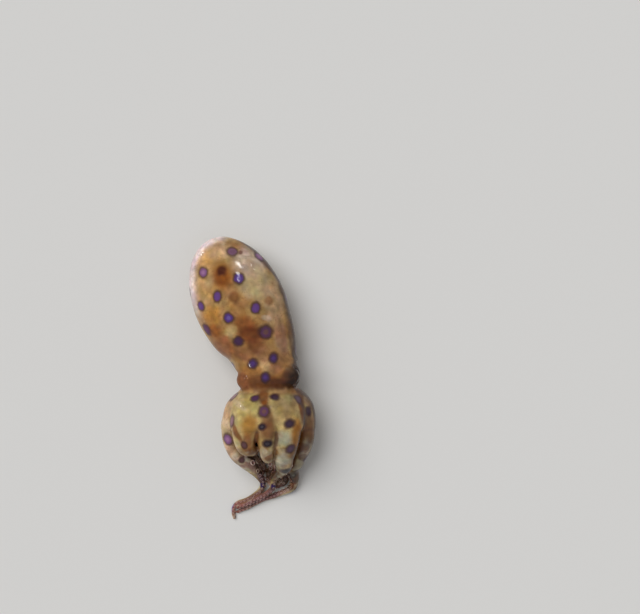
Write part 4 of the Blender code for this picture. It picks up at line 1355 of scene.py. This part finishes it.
def sucker_places(sweep, luck):
    """Place, way out and radius of each sucker of an arm."""
    place, row = SUCKER_FIRST, 1
    end = sweep.along[-1]
    fold = sweep.along[sweep.fold]
    while True:
        radius = max(SUCKER_LEAST, SUCKER_SHARE * np.interp(place, sweep.along, sweep.half_width))
        place += radius * SUCKER_SPACING
        if place + radius > end:
            return
        row = -row
        if sweep.arm.turn and abs(place - fold) < SUCKERLESS_FOLD:
            continue
        spot, inward, sideways, wide, thick = sweep.at(place)
        tilt = math.asin(SUCKER_ROW) * row
        foot = sideways * (wide * math.sin(tilt)) + inward * (thick * math.cos(tilt))
        look = inward * math.cos(SUCKER_SPLAY) + sideways * (row * math.sin(SUCKER_SPLAY))
        radius_here = radius * (1 + luck.uniform(-SUCKER_VARIES, SUCKER_VARIES))
        yield spot + foot * SUCKER_OUT, look.normalized(), radius_here


def one_sucker():
    """A sucker of radius 1 that opens upwards: its points, faces and how far into the cup each point is."""
    points, faces, cup = [], [], []
    for k, (wide, high) in enumerate(SUCKER_SECTION):
        for i in range(SUCKER_SIDES):
            angle = 2 * math.pi * i / SUCKER_SIDES
            points.append((wide * math.cos(angle), wide * math.sin(angle), high))
            cup.append(float(ease((k - 4.5) / 2.5)))
    points += [(0, 0, SUCKER_SECTION[-1][1]), (0, 0, SUCKER_SECTION[0][1])]
    cup += [1.0, 0.0]
    inner = (len(SUCKER_SECTION) - 1) * SUCKER_SIDES
    for i in range(SUCKER_SIDES):
        near = (i + 1) % SUCKER_SIDES
        for a in range(0, inner, SUCKER_SIDES):
            b = a + SUCKER_SIDES
            faces.append((a + i, a + near, b + near, b + i))
        faces.append((inner + i, inner + near, len(points) - 2))
        faces.append((near, i, len(points) - 1))
    return np.array(points), faces, cup


def sucker_tone(ground):
    """How a sucker's colour follows that of the skin it stands on, the skin's painted shade included."""
    return np.clip(ground / linear(INNER_PINK), *TONE_RANGE) ** TONE_CONTRAST


def make_suckers(sweeps, painting, luck):
    """All suckers as one mesh."""
    shape, shape_faces, shape_cup = one_sucker()
    points, faces, cup, tone = [], [], [], []
    tree = tree_of(painting.points)
    for sweep in sweeps:
        for spot, look, radius in sucker_places(sweep, luck):
            first = len(points) * len(shape)
            turn = np.array(look.to_track_quat("Z", "Y").to_matrix())
            points.append(shape @ turn.T * radius + np.array(spot))
            faces += [tuple(first + corner for corner in face) for face in shape_faces]
            cup += shape_cup
            _, near, _ = tree.find(spot)
            tone += [sucker_tone(painting.colour[near])] * len(shape)
    points = np.concatenate(points)
    points[:, 2] = np.maximum(points[:, 2], 0)
    suckers = mesh_object("suckers", points, faces)
    set_values(suckers, "cup", cup)
    set_values(suckers, "tone", tone)
    return suckers


def plain_colour(name, colour, roughness):
    material, _, shader = principled(name)
    shader.inputs["Base Color"].default_value = (*colour, 1)
    shader.inputs["Roughness"].default_value = roughness
    return material


def make_camera():
    data = bpy.data.cameras.new("camera")
    data.sensor_width = SENSOR
    data.lens = SENSOR / 2 / (PHOTO_MIDDLE[0] / FOCAL)
    data.clip_start = 0.01
    data.clip_end = 10
    camera = new_object("camera", data)
    camera.location = CAMERA * MM
    bpy.context.scene.camera = camera


def shining_panel(name, place, wide, high, watts, reach, target):
    """A panel that faces a target and shows only as a highlight in it, with sizes in millimetres."""
    data = bpy.data.lights.new(name, "AREA")
    data.shape = "RECTANGLE"
    data.size = wide * MM
    data.size_y = high * MM
    half_spread = math.atan(reach / LIGHT_AWAY)
    data.spread = 2 * half_spread
    data.energy = watts * (1 - half_spread / math.tan(half_spread))
    light = new_object(name, data)
    light.location = Vector(place) * MM
    aim = Vector(target) * MM - light.location
    light.rotation_mode = "QUATERNION"
    light.rotation_quaternion = aim.to_track_quat("-Z", "Y")
    light.visible_diffuse = False


def make_floor():
    half = FLOOR_HALF_WIDTH
    floor = mesh_object("floor", [(-half, -half, 0), (half, -half, 0), (half, half, 0), (-half, half, 0)],
                        [(0, 1, 2, 3)])
    floor.data.materials.append(plain_colour("floor", FLOOR, FLOOR_ROUGHNESS))


def make_daylight():
    """Pale light from all round, and a broad soft sun from the photograph's upper left."""
    world = bpy.data.worlds.new("studio")
    world.use_nodes = True
    set_inputs(world.node_tree.nodes["Background"], {"Color": (*SKY, 1), "Strength": SKY_STRENGTH})
    bpy.context.scene.world = world
    bpy.context.scene.view_settings.view_transform = "Standard"
    sky = bpy.data.lights.new("sky", "SUN")
    sky.energy = SUN_ENERGY
    sky.angle = SUN_BREADTH
    sun = new_object("sky", sky)
    sun.rotation_euler = SUN_TURN
    sun.visible_glossy = False


def make_panels(seen_at):
    """Panels that shine back where the photograph's highlights are, and one in the left eye."""
    for name, across, down, *panel in HIGHLIGHTS:
        spot, out = seen_at(across, down)
        shining_panel(name, spot + mirrored(spot, out) * LIGHT_AWAY, *panel, spot)
    eyeball = eye_place(1)[1]
    scale = (CAMERA.z - eyeball.z) / FOCAL
    across = (EYE_GLINT[0] - PHOTO_MIDDLE[0]) * scale + CAMERA.x - eyeball.x
    ahead = (PHOTO_MIDDLE[1] - EYE_GLINT[1]) * scale + CAMERA.y - eyeball.y
    out = Vector((across, ahead, math.sqrt(EYE_RADIUS ** 2 - across ** 2 - ahead ** 2))).normalized()
    spot = eyeball + out * EYE_RADIUS
    shining_panel("panel_eye", spot + mirrored(spot, out) * LIGHT_AWAY, *EYE_PANEL, spot)


def mirrored(spot, out):
    """The way to what the camera sees mirrored at a spot of the skin, from the way out of the skin there."""
    eye = (CAMERA - spot).normalized()
    return 2 * out.dot(eye) * out - eye


def rippled(points, painting):
    """The skin's points moved out and in by fine ripples, which fade where parts lie close together."""
    ripple = sum(height * roughen(points, kind) for height, kind in RIPPLES)
    height, kind = ARM_RIPPLES
    ripple += height * roughen(points, kind) * painting.on_arms
    points = points + painting.normals * (ripple * painting.open)[:, None]
    points[:, 2] = np.maximum(points[:, 2], 0)
    return points


def paint_skin(points, faces, painting):
    """The skin's piece, with its colours. The painting is moved on to the rippled skin."""
    points = rippled(points, painting)
    skin = mesh_object("octopus_skin", points, faces)
    set_values(skin, "ground", painting.colour)
    set_values(skin, "ring", painting.ring)
    set_values(skin, "ring_band", painting.band)
    set_values(skin, "ring_heart", painting.heart)
    skin.data.materials.append(skin_material())
    painting.points = points
    painting.normals = np.array([normal.vector for normal in skin.data.vertex_normals])
    return skin


def main():
    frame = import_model()
    sweeps = [Sweep(arm) for arm in ARMS]
    grid, points, faces = make_skin(sweeps)
    painting = Painting(grid, points, sweeps)
    painting.paint()
    painting.add_rings(random.Random(5))
    skin = paint_skin(points, faces, painting)
    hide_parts(*[node for node in frame["nodes"] if not node.startswith("eye")])
    suckers = make_suckers(sweeps, painting, random.Random(7))
    suckers.data.materials.append(sucker_material())
    look = eye_material()
    eyes = []
    for side, node in ((1, "eye_left"), (-1, "eye_right")):
        eye = make_eye(side)
        eye.data.materials.append(look)
        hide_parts(node)
        eyes.append(eye)
    for piece in (skin, suckers, *eyes):
        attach(piece, "root")
    make_camera()
    make_floor()
    make_daylight()
    make_panels(painting.seen_at)


main()
